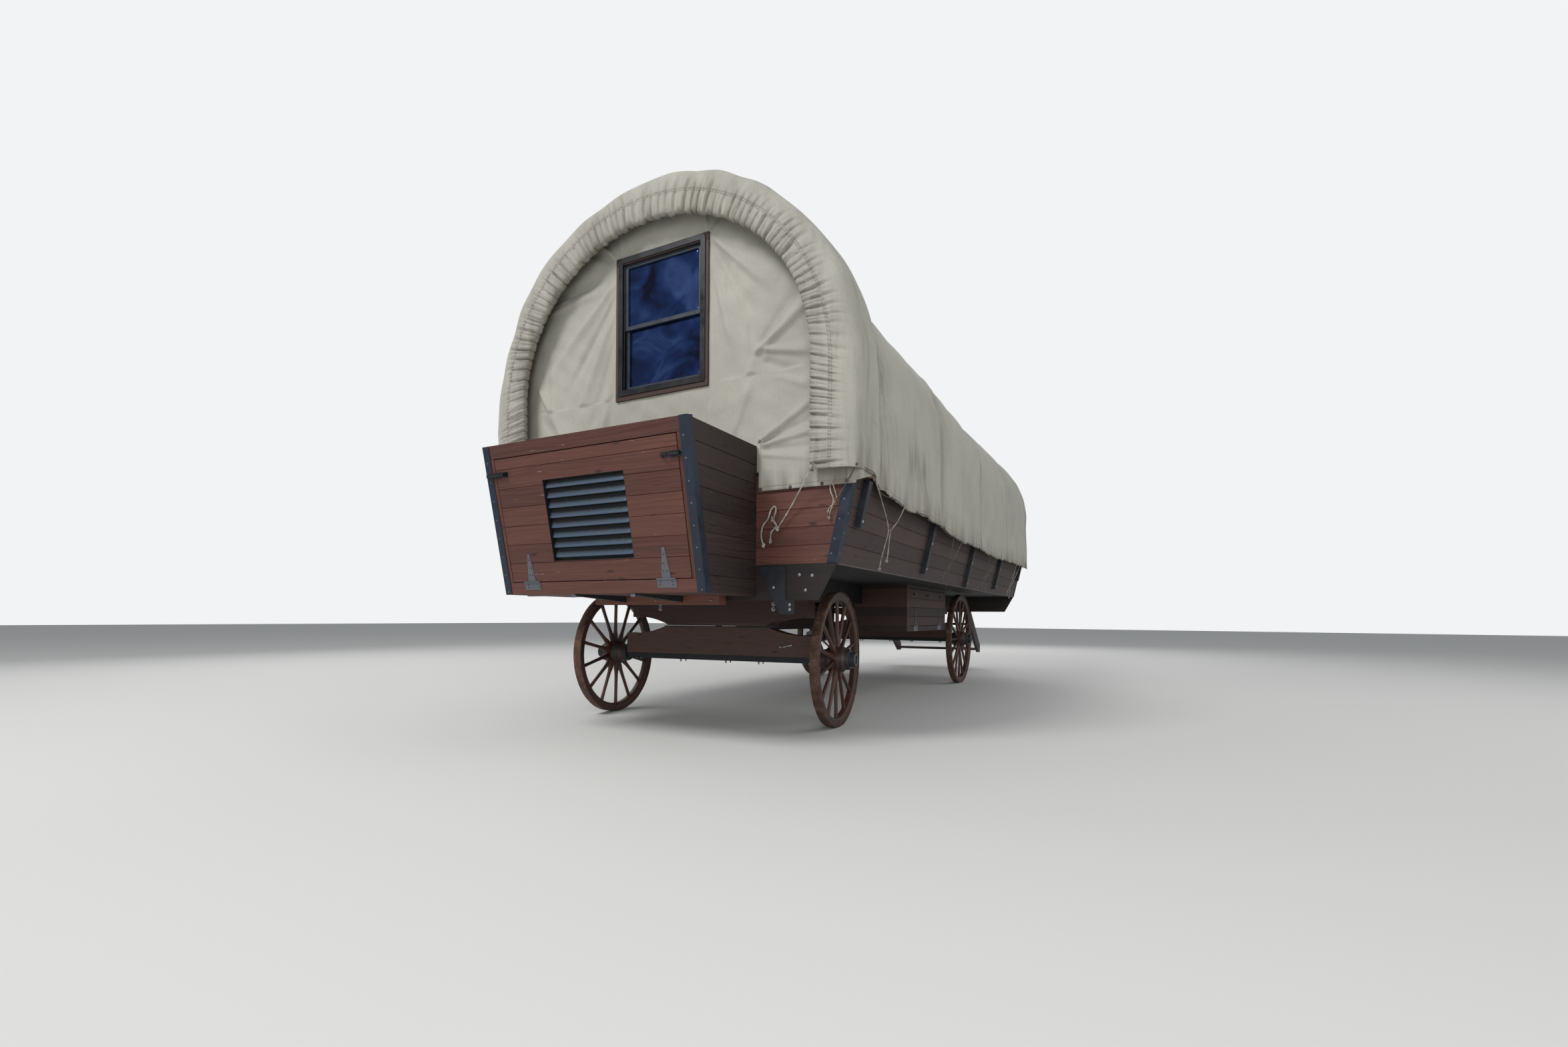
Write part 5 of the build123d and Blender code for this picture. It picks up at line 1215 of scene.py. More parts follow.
def on_rake(points):
    """From across, up the rake and out of the nose box's face, to the wagon's frame."""
    points = np.asarray(points, float)
    axes = np.array(((1.0, 0.0, 0.0), tuple(RAKE_UP), tuple(RAKE_OUT)))
    return points @ axes + np.array(RAKE_FOOT)


def nose_face():
    """The boards round the box's door, on its raked face."""
    side, low, high, top, gap, deep = 0.903, 0.0885, 0.990, 1.0841, 0.001, -0.030
    parts = [
        board((-side, high, deep), (side, top, 0.0), 0.0025, 0, 1),
        board((-side, 0.0, deep), (side, low, 0.0), 0.0025, 0, 2),
        board((-side, low + gap, deep), (-0.8165, high - gap, 0.0), 0.0025, 1, 3),
        board((0.8165, low + gap, deep), (side, high - gap, 0.0), 0.0025, 1, 4),
    ]
    # the top edge is weathered and a little splintered
    points = parts[0][0]
    edge = points[:, 1] > 1.07
    points[edge, 1] += 0.0012 * np.sin(points[edge, 0] * 61.0)
    joined("nose_face_frame", parts, "red_boards", "wagon", "stained_wood", move=on_rake, replaced="nose_box_face")


def louvre():
    """Pressed slats in a near-black box, painted shade for the vent's dark inside, its back sheet closing the vent:
    each slat bellies out to a lip with rounded corners.
    """
    wide, tall, thick = 0.3615, 0.066, 0.0016
    across = np.linspace(-1, 1, 33)[None, :]
    down = np.linspace(0, 1, 13)[:, None]
    corner = np.sqrt(np.clip(1 - np.clip((down - 0.80) / 0.20, 0, 1) ** 2, 0, 1))
    x = across * (wide - 0.014 * (1 - corner))
    u = tall * (1 - down) + 0 * across
    n = -0.034 + 0.029 * down ** 1.35 + 0 * across
    n = n - 0.006 * smooth_step(np.abs(across), 0.965, 1.0) * down
    n = n + 0.0015 * smooth_step(down, 0.80, 0.94) - 0.0015 * smooth_step(down, 0.96, 1.0)
    grid = np.stack(np.broadcast_arrays(x, u, n), -1)
    points, faces = skin(grid, grid - (0, 0, thick))
    base = mesh_of("slat", on_rake(points + (0, 0.2625, 0)) + (0, FRONT, 0), faces)
    mark(base, "down", np.tile((down + 0 * across).ravel(), 2))
    step = tuple(RAKE_UP * 0.0690)
    slats = shown(grown("louvre_slats", base, "row", "louvre", {"Count": 8, "Step": step}), "nose_door", "louvre_grey")
    slats.data.polygons.foreach_set("use_smooth", [True] * len(slats.data.polygons))
    fix_normals(slats)
    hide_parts("nose_louvre")
    half, inner, low, high, deep = 0.3645, 0.3620, 0.2375, 0.8045, -0.034
    # the near-black box and its back sheet behind the slats are painted shade for the vent's dark inside
    box = [((-half, low, deep), (-inner, high, -0.001)), ((inner, low, deep), (half, high, -0.001)),
           ((-inner, low, deep), (inner, low + 0.0025, -0.001)), ((-inner, high - 0.0025, deep), (inner, high, -0.001)),
           ((-half, low, -0.0385), (half, high, -0.0365))]
    sides = [board(*corners, 0.0005) for corners in box]
    joined("louvre_box", sides, "recess", "nose_door", "louvre_grey", move=on_rake)


def latch(name, left, right, low, high):
    """A toggle latch: a base with two cheeks, a lever, a wire bail and a hooked strike."""
    mid = (low + high) / 2
    span = right - left
    # from and to along it as parts of its length, from and to across it, from and to off the face, ease
    rows = (
        (0.40, 1, -0.019, 0.019, 0.0005, 0.0035, 0.001), (0.52, 1, -0.016, -0.012, 0.0035, 0.020, 0.0012),
        (0.52, 1, 0.012, 0.016, 0.0035, 0.020, 0.0012), (0.34, 1, -0.0085, 0.0085, 0.0185, 0.0245, 0.002),
        (0.10, 0.36, -0.0075, 0.0075, 0.0240, 0.0290, 0.002), (0, 0.27, -0.017, 0.017, 0.0005, 0.0035, 0.001),
        (0.06, 0.14, -0.010, 0.010, 0.0035, 0.0185, 0.0015), (0.06, 0.60, 0.010, 0.014, 0.0150, 0.0190, 0.0015),
        (0.06, 0.60, -0.014, -0.010, 0.0150, 0.0190, 0.0015), (0.04, 0.085, -0.014, 0.014, 0.0150, 0.0190, 0.0015),
    )
    short = (0, 0.012, 0.012, 0.020, 0, 0, 0, 0, 0, 0)
    parts = [board((left + a * span, mid + c, e), (left + b * span - less, mid + d, f), ease)
             for (a, b, c, d, e, f, ease), less in zip(rows, short)]
    joined(name, parts, "latch_black", "nose_door", "window_black", move=on_rake)
    spots = [(left + part * span, mid + up, 0.0035) for part in (0.20, 0.46, 0.93) for up in (-0.0125, 0.0125)]
    fasteners(f"{name}_screws", "screws", on_rake(spots), RAKE_OUT, 0.0035, "nose_door", "hinge_steel", "dull_zinc")


def frame_of(rows):
    """A frame round the window from its section: each row is a rounded rectangle's half width, bottom, top,
    upper and lower corner radius, and y. The rows follow one another and close on the first."""
    points, steps = [], 6
    for half, low, high, upper, lower, y in rows:
        for x, z, r, start in ((half, high, upper, 0.0), (-half, high, upper, 0.25), (-half, low, lower, 0.5),
                               (half, low, lower, 0.75)):
            for k in range(steps + 1):
                a = math.tau * (start + 0.25 * k / steps)
                mid_x, mid_z = x - math.copysign(r, x), z + (-r if z == high else r)
                points.append((mid_x + r * math.cos(a), y, mid_z + r * math.sin(a)))
    points = np.array(points)
    return points, rings_between(len(rows), 4 * (steps + 1), closed=True), points, 0


def window():
    """The sash window: four trim boards, the black flange, two sashes and their panes."""
    low, high, half, face, wide = 2.639, 3.791, 0.450, 0.0383, 0.060
    front, joint = face + 0.0215, wide + 0.0005
    parts = [
        board((-half, face, low), (half, front, low + wide), 0.003, 0, 11),
        board((-half, face, high - wide), (half, front, high), 0.003, 0, 12),
        board((-half, face, low + joint), (-half + wide, front, high - joint), 0.003, 2, 13),
        board((half - wide, face, low + joint), (half, front, high - joint), 0.003, 2, 14),
    ]
    joined("window_trim_boards", parts, "trim", "wagon", "trim_wood", replaced="window_trim")
    middle, half_tall, half_wide = 3.230, 0.556, 0.424
    # how far in from the flange's edge, corner radii, y
    section = ((0, 0.036, 0.010, 0.0375), (0, 0.036, 0.010, 0.0335), (0.0025, 0.034, 0.009, 0.0310),
               (0.044, 0.006, 0.006, 0.0310), (0.0465, 0.005, 0.005, 0.0335), (0.0465, 0.005, 0.005, 0.050),
               (0.054, 0.004, 0.004, 0.0515), (0.054, 0.004, 0.004, 0.058), (0.0465, 0.005, 0.005, 0.0595),
               (0.0465, 0.005, 0.005, 0.104), (0.012, 0.010, 0.010, 0.104), (0.012, 0.010, 0.010, 0.0375))
    flange = frame_of([(half_wide - far, middle - half_tall + far, middle + half_tall - far, *rest)
                       for far, *rest in section])
    sashes = []
    for bottom, top, near, far in ((3.206, 3.738, 0.0610, 0.0770), (2.722, 3.244, 0.0785, 0.0945)):
        rail = 0.034
        section = ((0, far), (0, near + 0.002), (0.002, near), (rail - 0.004, near), (rail, near + 0.005), (rail, far))
        rows = [(0.3770 - inset, bottom + inset, top - inset, 0.003, 0.003, y) for inset, y in section]
        sashes.append(frame_of(rows))
    panes = []
    for bottom, top, at in ((3.236, 3.708, 0.0690), (2.752, 3.214, 0.0865)):
        x = np.linspace(-0.347, 0.347, 25)[None, :]
        z = np.linspace(bottom, top, 19)[:, None]
        bow = 0.0007 * np.cos(x * 4.0) * np.cos((z - (bottom + top) / 2) * 5.0)
        pane = np.stack(np.broadcast_arrays(x, at - bow, z), -1)
        panes.append((*skin(pane, pane + (0, 0.004, 0)), np.zeros((1, 3)), 0))
    for name, made, finish, slot, smooth, node in (
            ("window_flange", [flange], "window_black", "window_black", False, "window_sash"),
            ("window_sash_frames", sashes, "sash_grey", "window_black", False, "window_sash"),
            ("window_panes", panes, "glass", "glass", True, "window_glass")):
        points, faces = merge(made)[:2]
        shape = piece(name, points, faces, finish, "wagon", slot, smooth)
        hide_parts(node)
        fix_normals(shape)
    spots = [(x, 0.0312, z) for x in (-0.401, 0.401) for z in (2.80, 3.10, 3.40, 3.66)]
    fasteners("window_flange_screws", "screws", spots, (0, -1, 0), 0.0042, "wagon", "window_black", "window_black")


nose_face()
louvre()
latch("latch_right", 0.680, 0.850, 0.837, 0.893)
latch("latch_left", -0.695, -0.868, 0.845, 0.901)
window()


BOLSTER_HALF = 0.0703


def side_face(y, z, side, proud):
    """A point on a side wall's outer face, and the way out there."""
    out = Vector((side, 0, -FLARE)).normalized()
    x = BODY_HALF + FLARE * (z - BODY_BOTTOM)
    spot = Vector((side * x, y, z)) + out * proud
    return tuple(spot), tuple(out)


def irons_and_stakes():
    """Bolts and screws in the steel parts of the body."""
    right = zip(np.linspace(0.868, 0.882, 8), (0.964, 0.829, 0.691, 0.558, 0.420, 0.284, 0.146, 0.017))
    left = [(-0.878, u) for u in (0.965, 0.828, 0.692, 0.556, 0.421, 0.284, 0.149, 0.022)]
    heads = on_rake([(x, u, 0.0052) for x, u in (*right, *left)])
    fasteners("screws_box_irons", "screws", heads, RAKE_OUT, 0.0058, "wagon", "black_steel", "dull_zinc")
    spots, ways = [], []
    for side in (1, -1):
        for z, x in ((1.696, 1.579), (1.565, 1.547), (1.434, 1.512), (1.336, 1.487)):
            for y, way in ((-0.0052, -1), (BODY_LENGTH + 0.0052, 1)):
                spots.append((side * x, y, z))
                ways.append((0, way, 0))
        for z in (1.602, 1.471, 1.337):
            for y in (0.027, BODY_LENGTH - 0.027):
                spot, out = side_face(y, z, side, 0.0052)
                spots.append(spot)
                ways.append(out)
    fasteners("screws_corner_irons", "screws", spots, ways, 0.0065, "wagon", "black_steel", "dull_zinc")
    spots, ways = [], []
    # on each stake's web, and one behind it; the stakes at the ends are short
    rows = (((1.578,), 1.655), ((1.605, 1.372), 1.480), ((1.560, 1.327), 1.435), ((1.605, 1.372), 1.480),
            ((1.578,), 1.655))
    for y, (webs, beside) in zip(BOW_PLACES, rows):
        for side in (1, -1):
            behind = -1 if y > 7 else 1
            for z, off, proud in (*((z, -0.005 * behind, 0.0465) for z in webs), (beside, 0.046 * behind, 0.0006)):
                spot, out = side_face(y + off, z, side, proud)
                spots.append(spot)
                ways.append(out)
    fasteners("bolts_stakes", "carriage", spots, ways, 0.0125, "wagon", "black_steel")


def front_timbers():
    """Bolts in the cross timbers at the front and rear, and in the bolsters over the axles."""
    heads = [(1.249, -0.0005, 1.199), (1.346, -0.0005, 1.192), (1.296, -0.0005, 1.092)]
    plate = [(1.051, -0.0086, 1.114), (1.179, -0.0086, 0.992), (1.180, -0.0086, 0.959)]
    fasteners("bolts_front_header", "carriage", heads + plate, (0, -1, 0), 0.0115, "wagon", "black_steel")
    rear = [(side * x, BODY_LENGTH + 0.0005, z) for side in (1, -1) for x, _, z in heads]
    fasteners("bolts_rear_header", "carriage", rear, (0, 1, 0), 0.0115, "wagon", "black_steel")
    washers = [(side * 0.597, axle - BOLSTER_HALF, z) for axle in (FRONT_AXLE, REAR_AXLE) for side in (1, -1)
               for z in (1.015, 0.972)]
    fasteners("washers_bolsters", "washers", washers, (0, -1, 0), 0.019, "wagon", "black_steel")
    back = [(x, y + 2 * BOLSTER_HALF, z) for x, y, z in washers]
    fasteners("nuts_bolsters", "bolts", back, (0, 1, 0), 0.017, "wagon", "black_steel", "dull_zinc")


def bar(start, end, radius):
    """A round bar between two points, with eased ends, as a part for merge."""
    sides = 14
    start, end = Vector(start), Vector(end)
    along = (end - start).normalized()
    across = along.orthogonal().normalized()
    other = along.cross(across)
    length, ease = (end - start).length, 0.12 * radius
    rings = ((0.0, 0.70), (ease, 1.0), (length / 2, 1.0), (length - ease, 1.0), (length, 0.70))
    points = []
    for far, size in rings:
        for k in range(sides):
            a = math.tau * k / sides
            points.append(start + along * far + (across * math.cos(a) + other * math.sin(a)) * radius * size)
    points = np.array(points)
    return points, rings_between(len(rings), sides), points, 0


def axle_gear():
    """The drop pin on the front axle, and the clips that hold the axle under its board."""
    face = FRONT_AXLE - BOLSTER_HALF
    pin = [bar((0.632, face - 0.010, 0.649), (0.739, face - 0.010, 0.669), 0.0065),
           bar((0.628, face - 0.012, 0.644), (0.640, face - 0.012, 0.658), 0.0095),
           bar((0.735, face, 0.669), (0.735, face - 0.020, 0.669), 0.0085),
           bar((0.668, face, 0.655), (0.668, face - 0.004, 0.655), 0.012)]
    fix_normals(joined("drop_pin", pin, "zinc", "front_gear", "frame_steel", smooth=True, move=steered))
    # the threaded ends of the bolts that hold the axle under its board
    for label, body, y, low, move in (("front", "front_gear", FRONT_AXLE, 0.517, steered),
                                      ("rear", "wagon", REAR_AXLE, 0.579, np.array)):
        spots = [(x, y + off, low) for x in (-0.84, -0.36, 0.10, 0.42, 0.84) for off in (-0.045, 0.045)]
        ends = [bar((x, at, low - 0.022), (x, at, low - 0.002), 0.0055) for x, at, _ in spots]
        fix_normals(joined(f"axle_bolt_ends_{label}", ends, "latch_black", body, "frame_steel", move=move))
        heads = move(spots)
        fasteners(f"nuts_axle_{label}", "bolts", heads, (0, 0, -1), 0.0125, body, "frame_steel", "dull_zinc")


def arms_and_ledger():
    """The pale caps on the arms' ends, and the carriage bolts in the ledger."""
    caps = [board((x - 0.019, -0.6235, 1.0335), (x + 0.019, -0.6205, 1.0555), 0.001) for x in (-0.230, 0.310)]
    joined("arm_end_caps", caps, "dull_zinc", "wagon", "black_steel")
    bolts = [(x, -0.0895, 1.025) for x in (-0.46, 0.08, 0.58)]
    fasteners("bolts_ledger", "carriage", bolts, (0, -1, 0), 0.011, "wagon", "black_steel", "dull_zinc")


def box_hinges():
    """Screws in the strap hinges of the box's door: the leaves stay with the box, the straps swing."""
    leaf = ((0.555, 0.054), (0.661, 0.052), (0.562, 0.075), (0.658, 0.074))
    strap = ((0.600, 0.194), (0.596, 0.144), (0.624, 0.144), (0.612, 0.252))
    for label, body, holes in (("leaves", "wagon", leaf), ("straps", "nose_door", strap)):
        spots = on_rake([(side * x, u, 0.0036) for side in (1, -1) for x, u in holes])
        fasteners(f"screws_hinge_{label}", "screws", spots, RAKE_OUT, 0.0048, body, "hinge_steel", "latch_black")


def locker_latches():
    """Two toggle latches and a pull on each locker door."""
    wall, middle, level = 1.1003, 1.175, 1.173
    grip = wall + 0.034
    # from and to along the door, from and to upward, from and to off its face
    rows = []
    for y in (3.235, 4.380):
        for low, high, half, near, far in ((-0.045, 0.045, 0.020, 0.0, 0.003), (-0.030, 0.034, 0.011, 0.003, 0.016),
                                           (-0.040, 0.010, 0.007, 0.016, 0.022)):
            rows.append((y + low, y + high, middle - half, middle + half, near, far))
    rows.append((3.705, 3.825, 1.158, 1.188, 0.0, 0.003))
    for label, side in SIDES:
        blocks = []
        for back, fore, low, high, near, far in rows:
            inner, outer = sorted((side * (wall + near), side * (wall + far)))
            blocks.append(board((inner, back, low), (outer, fore, high), 0.0008, 1))
        blocks.append(bar((side * grip, 3.722, level), (side * grip, 3.808, level), 0.0055))
        for y in (3.722, 3.808):
            blocks.append(bar((side * (wall + 0.001), y, level), (side * (grip + 0.0035), y, level), 0.0050))
        body = f"{label}_locker_door"
        fix_normals(joined(f"latches_{label}_locker", blocks, "latch_black", body, "window_black"))


def cabin_door_fittings():
    """A lever and its plate on the cabin's door."""
    face = BODY_LENGTH + 0.0003
    parts = [
        board((0.300, face, 2.180), (0.345, face + 0.004, 2.360), 0.0015, 2),
        bar((0.3225, face + 0.003, 2.300), (0.3225, face + 0.048, 2.300), 0.0075),
        bar((0.3260, face + 0.043, 2.300), (0.225, face + 0.043, 2.292), 0.0072),
        bar((0.3225, face + 0.003, 2.225), (0.3225, face + 0.010, 2.225), 0.0110),
    ]
    fix_normals(joined("cabin_door_lever", parts, "latch_black", "cabin_door", "window_black", smooth=True))


def sill_strips():
    """The worn bottom edges of the side walls, sawn pale."""
    parts = []
    for _, side in SIDES:
        low, high = sorted((side * 1.484, side * 1.5165))
        parts.append(board((low, 0.040, 1.2705), (high, BODY_LENGTH - 0.040, 1.2742), 0.001, 1))
    joined("side_wall_soles", parts, "sole", "wagon", "wall_wood")


irons_and_stakes()
front_timbers()
axle_gear()
arms_and_ledger()
box_hinges()
locker_latches()
cabin_door_fittings()
sill_strips()


def route_points(name, spots):
    """The points of an open spline through a few chosen control points, read from a curve with no bevel."""
    data = bpy.data.curves.new(f"{name}_line", "CURVE")
    data.dimensions = "3D"
    spline = data.splines.new("NURBS")
    spline.points.add(len(spots) - 1)
    for point, (x, y, z) in zip(spline.points, spots):
        point.co = (x, y + FRONT, z, 1.0)
    spline.order_u = 3
    spline.use_endpoint_u = True
    spline.resolution_u = 14
    holder = bpy.data.objects.new(f"{name}_line", data)
    bpy.context.scene.collection.objects.link(holder)
    bpy.context.view_layer.update()
    line = bpy.data.meshes.new_from_object(holder.evaluated_get(bpy.context.evaluated_depsgraph_get()))
    points = np.array([vertex.co for vertex in line.vertices])
    bpy.data.objects.remove(holder)
    bpy.data.curves.remove(data)
    bpy.data.meshes.remove(line)
    return points


def run_of(points):
    """How far along the line each of its points lies."""
    return np.concatenate([[0.0], np.cumsum(np.linalg.norm(np.diff(points, axis=0), axis=1))])


def evenly(points, step):
    """The same line with points a step apart, and how far along each lies."""
    reach = run_of(points)
    count = max(int(round(reach[-1] / step)), 6)
    at = np.linspace(0.0, reach[-1], count + 1)
    return np.stack([np.interp(at, reach, points[:, axis]) for axis in range(3)], 1), at


def stranded(points, at, radius, pinched=True):
    """A three-strand rope along a line: the section has a lobe for each strand and turns once in every 3.2
    widths of it. Pinched ends are a little narrower."""
    sides = 12
    tangents = np.gradient(points, axis=0)
    tangents /= np.linalg.norm(tangents, axis=1)[:, None]
    side = np.cross(tangents[0], (0.31, 0.52, 0.79))
    side /= np.linalg.norm(side)
    rings = []
    angles = math.tau * np.arange(sides) / sides
    for point, tangent, far in zip(points, tangents, at):
        side = side - tangent * np.dot(side, tangent)
        side /= np.linalg.norm(side)
        other = np.cross(tangent, side)
        turn = math.tau * far / (3.2 * 2 * radius)
        size = radius * (0.86 + 0.14 * np.cos(3 * (angles - turn)))
        rings.append(point + np.outer(size * np.cos(angles), side) + np.outer(size * np.sin(angles), other))
    rings = np.array(rings)
    if pinched:
        for end in (0, -1):
            rings[end] = points[end] + (rings[end] - points[end]) * 0.8
    return rings.reshape(-1, 3), rings_between(len(rings), sides)


def rope(name, spots, width=0.0095, finish="rope", step=0.0045, knots=()):
    """A cord along its control points, with the knots it ends in."""
    points, at = evenly(route_points(name, spots), step)
    vertices, faces = stranded(points, at, width / 2)
    made = piece(name, vertices - (0, FRONT, 0), faces, finish, "wagon", "canvas")
    fix_normals(made)
    tied = [knot(f"{name}_knot_{index}", spot, width, finish, seed) for index, (spot, seed) in enumerate(knots)]


def knot(name, spot, width, finish, seed):
    """An overhand knot: one turn of the same rope drawn up on itself."""
    rng = np.random.default_rng(seed)
    t = np.linspace(0, math.tau, 46)
    size = width * 0.98
    trefoil = np.stack([np.sin(t) + 2 * np.sin(2 * t), np.cos(t) - 2 * np.cos(2 * t), -1.25 * np.sin(3 * t)], 1)
    trefoil = trefoil * size / 2.6
    spin = Matrix.Rotation(rng.uniform(0, math.tau), 3, "Z") @ Matrix.Rotation(math.radians(90), 3, "X")
    points = trefoil @ np.array(spin.transposed()) + np.array(spot)
    vertices, faces = stranded(points, run_of(points), width / 2, pinched=False)
    made = piece(name, vertices, faces, finish, "wagon", "canvas")
    fix_normals(made)
    return made


def hem_lacing(label, side):
    """One rope weaves in and out of the hem's eyelets from end to end."""
    spots = [(side * 1.688, -0.066, 1.905), (side * 1.716, 0.030, 1.893), (side * 1.744, 0.150, 1.880)]
    outside = True
    for y, after in zip(EYELETS, (*EYELETS[1:], 7.300)):
        spots.append(tuple(cover_spot(y - 0.025, 0.020, side, 0.0085 if outside else -0.0150)[0]))
        outside = not outside
        spots.append(tuple(cover_spot(y + 0.025, 0.020, side, 0.0085 if outside else -0.0150)[0]))
        # between two eyelets the rope clears the fullest part of the cloth
        middle = cover_spot((y + after) / 2, 0.020, side, 0.0)[0]
        between = [y + part * (after - y) for part in (0.2, 0.35, 0.5, 0.65, 0.8)]
        swell = [abs(cover_spot(place, 0.020, side, 0.0)[0][0]) for place in between]
        middle[0] = side * (max(swell) + 0.012 if outside else min(swell) - 0.016)
        spots.append(tuple(middle))
    spots += [(side * 1.722, 7.330, 1.862), (side * 1.712, 7.420, 1.880), (side * 1.690, 7.560, 1.890)]
    rope(f"hem_rope_{label}", spots, finish="old_rope", step=0.0065,
         knots=[((side * 1.688, -0.068, 1.900), 3), ((side * 1.690, 7.562, 1.886), 4)])


def hem_ties(label, side):
    """Short ropes drawn down from pairs of eyelets and knotted, with two hanging tails."""
    # the two eyelets' y, then y and z of the knot, the neck below it, the fork of the tails and their ends
    ties = (
        ("a", 0.305, 0.819, (0.613, 1.556), (0.560, 1.470), (0.545, 1.420), (0.432, 1.257)),
        ("b", 2.410, 2.765, (2.350, 1.400), (2.330, 1.360), (2.300, 1.330), (2.190, 1.262)),
        ("c", 4.300, 4.650, (4.160, 1.385), (4.140, 1.350), (4.110, 1.320), (4.020, 1.262)),
        ("d", 6.290, 6.640, (6.020, 1.370), (6.000, 1.335), (5.975, 1.315), (5.880, 1.262)),
    )
    out = 1.688

    def off(x, y, z):
        return side * (out + x), y, z

    for mark, first, last, join, neck, fork, tail in ties:
        knot_at = off(0, *join)
        near = [off(-0.006, neck[0] - 0.010, neck[1]), off(-0.014, tail[0] + 0.010, tail[1] + 0.040),
                off(-0.014, *tail)]
        far = [off(0.008, neck[0] + 0.014, neck[1] + 0.004), off(0.006, fork[0] + 0.016, fork[1] - 0.040),
               off(0.002, fork[0] - 0.006, fork[1] - 0.100)]
        met = off(0.006, join[0] + 0.004, join[1] + 0.004)
        for end, eyelet, sag, meet, tail_spots, knots in (
                ("near", first, (0.004, 0.012, -0.012), off(-0.004, *join), near, [(knot_at, 5), (near[-1], 6)]),
                ("far", last, (0.010, 0.012, -0.016), met, far, [(far[-1], 7)])):
            start = cover_spot(eyelet, 0.018, side, 0.006)[0]
            middle = (np.array(start) + np.array(knot_at)) / 2 + (side * sag[0], *sag[1:])
            rope(f"tie_{mark}_{label}_{end}", [tuple(start), tuple(middle), meet, *tail_spots], width=0.0080,
                 finish="old_rope" if mark in "bc" else "rope", knots=knots)


# name, width, finish, control points, the knots' places and seeds. The ring's draw rope is brought down the
# front wall; the bunch is tied off beside the box, and the corner's rope at the wall's end.
WALL_ROPES = (
    ("draw_rope", 0.0110, "rope",
     ((1.411, -0.128, 1.925), (1.350, -0.100, 1.850), (1.230, -0.050, 1.700), (1.150, -0.030, 1.600),
      (1.088, -0.024, 1.524)), (((1.086, -0.024, 1.520), 11),)),
    ("wall_bunch_high", 0.0125, "rope",
     ((1.050, -0.022, 1.592), (1.078, -0.025, 1.640), (1.070, -0.022, 1.684), (1.040, -0.026, 1.668),
      (1.028, -0.034, 1.625), (1.016, -0.030, 1.590), (0.972, -0.022, 1.560), (0.954, -0.024, 1.490),
      (0.964, -0.024, 1.440), (0.976, -0.024, 1.414)), (((1.052, -0.026, 1.590), 12), ((0.976, -0.024, 1.412), 13))),
    ("wall_bunch_low", 0.0125, "rope",
     ((1.056, -0.026, 1.582), (1.082, -0.022, 1.552), (1.060, -0.025, 1.520), (1.036, -0.024, 1.500),
      (1.034, -0.024, 1.470), (1.031, -0.024, 1.441)), (((1.031, -0.024, 1.439), 14),)),
    ("wall_link", 0.0100, "rope",
     ((1.094, -0.032, 1.524), (1.086, -0.034, 1.548), (1.062, -0.034, 1.560), (1.056, -0.032, 1.592)), ()),
    ("corner_tie", 0.0080, "old_rope",
     ((1.684, -0.066, 1.902), (1.662, -0.050, 1.872), (1.618, -0.036, 1.812), (1.570, -0.026, 1.745),
      (1.532, -0.024, 1.698)), (((1.530, -0.026, 1.694), 15),)),
    ("corner_loop", 0.0080, "rope",
     ((1.534, -0.026, 1.702), (1.520, -0.026, 1.760), (1.500, -0.026, 1.806), (1.484, -0.026, 1.796),
      (1.492, -0.034, 1.740), (1.516, -0.034, 1.700), (1.502, -0.024, 1.650), (1.482, -0.020, 1.610),
      (1.476, -0.018, 1.577)), (((1.476, -0.018, 1.575), 16),)),
    ("corner_tail", 0.0080, "rope",
     ((1.524, -0.024, 1.686), (1.508, -0.018, 1.664), (1.484, -0.017, 1.650), (1.470, -0.017, 1.634),
      (1.468, -0.017, 1.618)), (((1.468, -0.017, 1.616), 17),)),
)

for label, side in SIDES:
    hem_lacing(label, side)
    hem_ties(label, side)
for name, width, finish, spots, knots in WALL_ROPES:
    rope(name, spots, width, finish, knots=knots)


def ground():
    half = 60.0
    made = mesh_of("ground", [(-half, -half, 0), (half, -half, 0), (half, half, 0), (-half, half, 0)], [range(4)])
    floor = bpy.data.objects.new("ground", made)
    bpy.context.scene.collection.objects.link(floor)
    fresh("plain_pale_ground", Roughness=0.9, Base_Color=linear("#d2d1cd"))
    made.materials.append(bpy.data.materials["plain_pale_ground"])


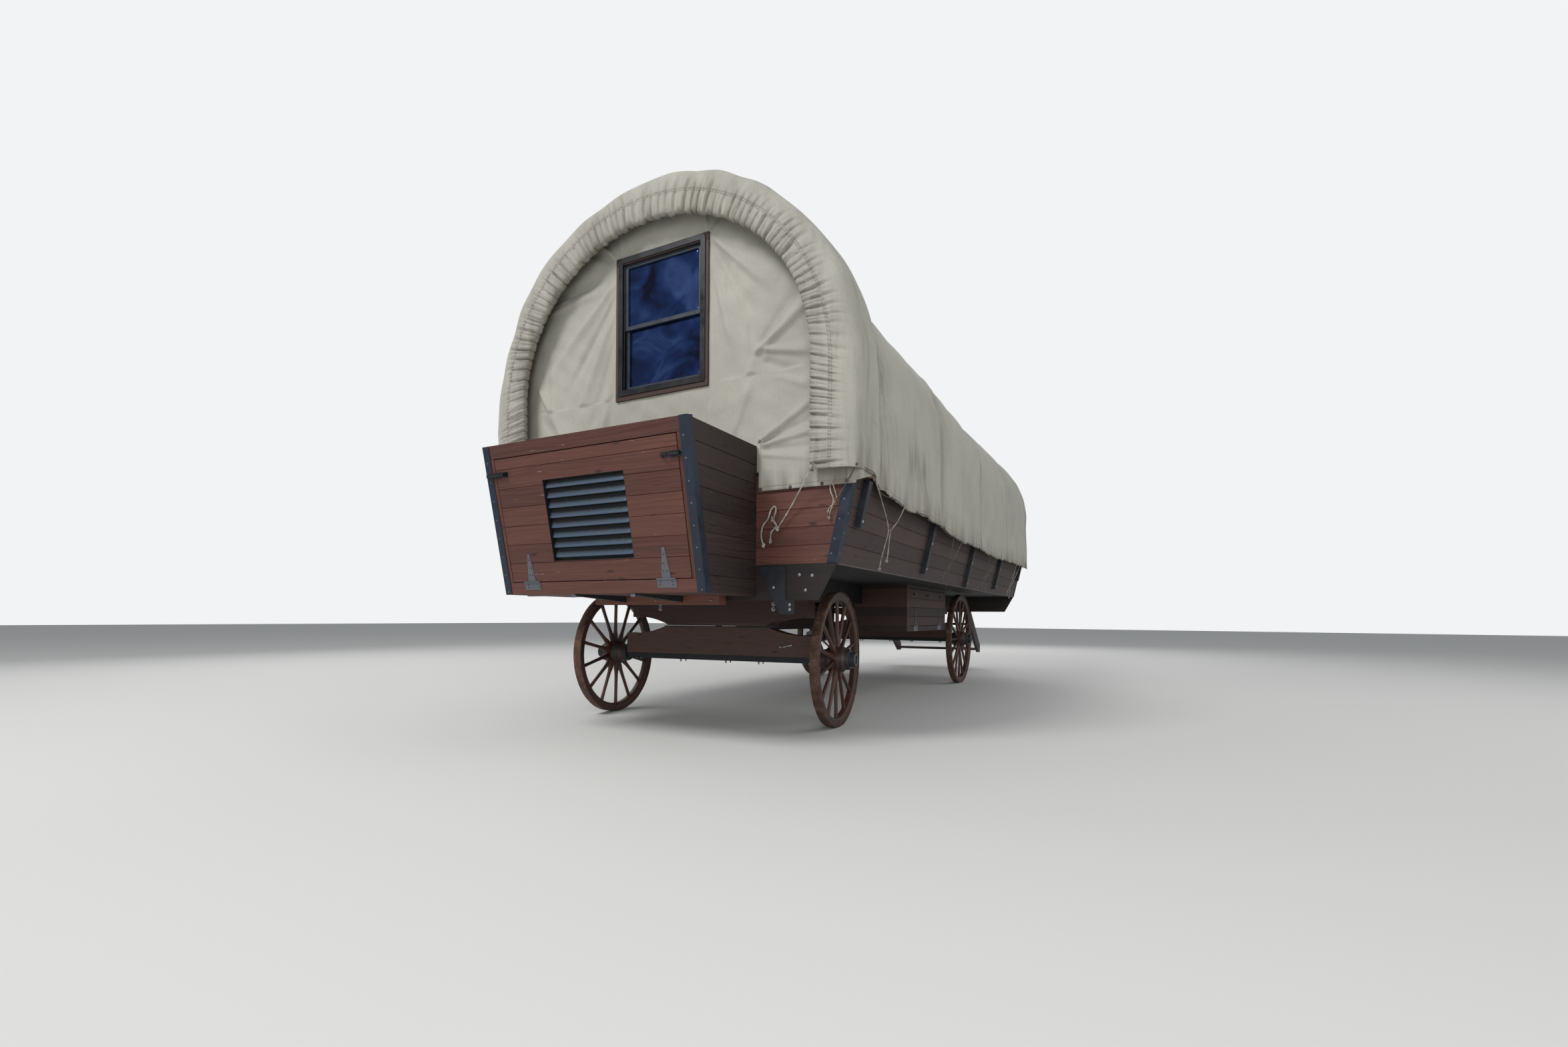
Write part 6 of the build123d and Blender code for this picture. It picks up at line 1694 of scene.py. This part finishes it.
def sky():
    world = bpy.data.worlds.new("open_shade")
    bpy.context.scene.world = world
    world.use_nodes = True
    world.node_tree.nodes.clear()
    put = functools.partial(add, world.node_tree)
    path = put("LightPath", out=None)
    soft = put("Background", {"Color": linear("#e9eef4"), "Strength": 0.44})
    seen = put("Background", {"Color": linear("#f2f3f4"), "Strength": 1.0})
    mix = put("MixShader", {0: path.outputs["Is Camera Ray"], 1: soft, 2: seen})
    put("OutputWorld", {"Surface": mix}, out=None)


def lamp(name, energy, size, place, target):
    """A square soft lamp, its energy in watts and its size in metres."""
    data = bpy.data.lights.new(name, "AREA")
    data.energy, data.size = energy, size
    made = bpy.data.objects.new(name, data)
    bpy.context.scene.collection.objects.link(made)
    made.location = Vector(place)
    made.rotation_euler = (Vector(target) - Vector(place)).to_track_quat("-Z", "Y").to_euler()


def camera():
    """The view from which the wagon's straight edges line up; angles in radians, focal length in pixels."""
    yaw, pitch, roll = 0.484, -0.005, 0.008
    focal, wide = 992.2, 2349
    ahead = Vector((-math.sin(yaw) * math.cos(pitch), math.cos(yaw) * math.cos(pitch), math.sin(pitch)))
    right = Vector((math.cos(yaw), math.sin(yaw), 0))
    up = right.cross(ahead)
    right, up = right * math.cos(roll) + up * math.sin(roll), up * math.cos(roll) - right * math.sin(roll)
    data = bpy.data.cameras.new("view")
    data.sensor_width, data.lens = 36.0, 36.0 * focal / wide
    data.shift_y, data.clip_end = 0.0618, 200
    made = bpy.data.objects.new("view", data)
    bpy.context.scene.collection.objects.link(made)
    turn = Matrix((right, up, -ahead)).transposed().to_4x4()
    made.matrix_world = Matrix.Translation((3.281, -4.088 + FRONT, 0.906)) @ turn
    bpy.context.scene.camera = made


ground()
sky()
for lamp_row in (
    ("high_front_left", 1260, 4.5, (-3.0, -13.0, 12.5), (0, -3, 2.2)),
    ("low_front_right", 250, 5.0, (5.5, -12.0, 3.0), (0, -3, 1.6)),
    ("high_right", 330, 8.0, (11.0, 0.0, 8.0), (0, 0, 2.2)),
    ("high_left", 350, 8.0, (-11.0, -1.0, 8.0), (0, 0, 2.2)),
    ("high_rear", 500, 7.0, (-2.0, 13.0, 8.0), (0, 3, 2.2)),
):
    lamp(*lamp_row)
camera()
bpy.context.scene.view_settings.view_transform = "Standard"
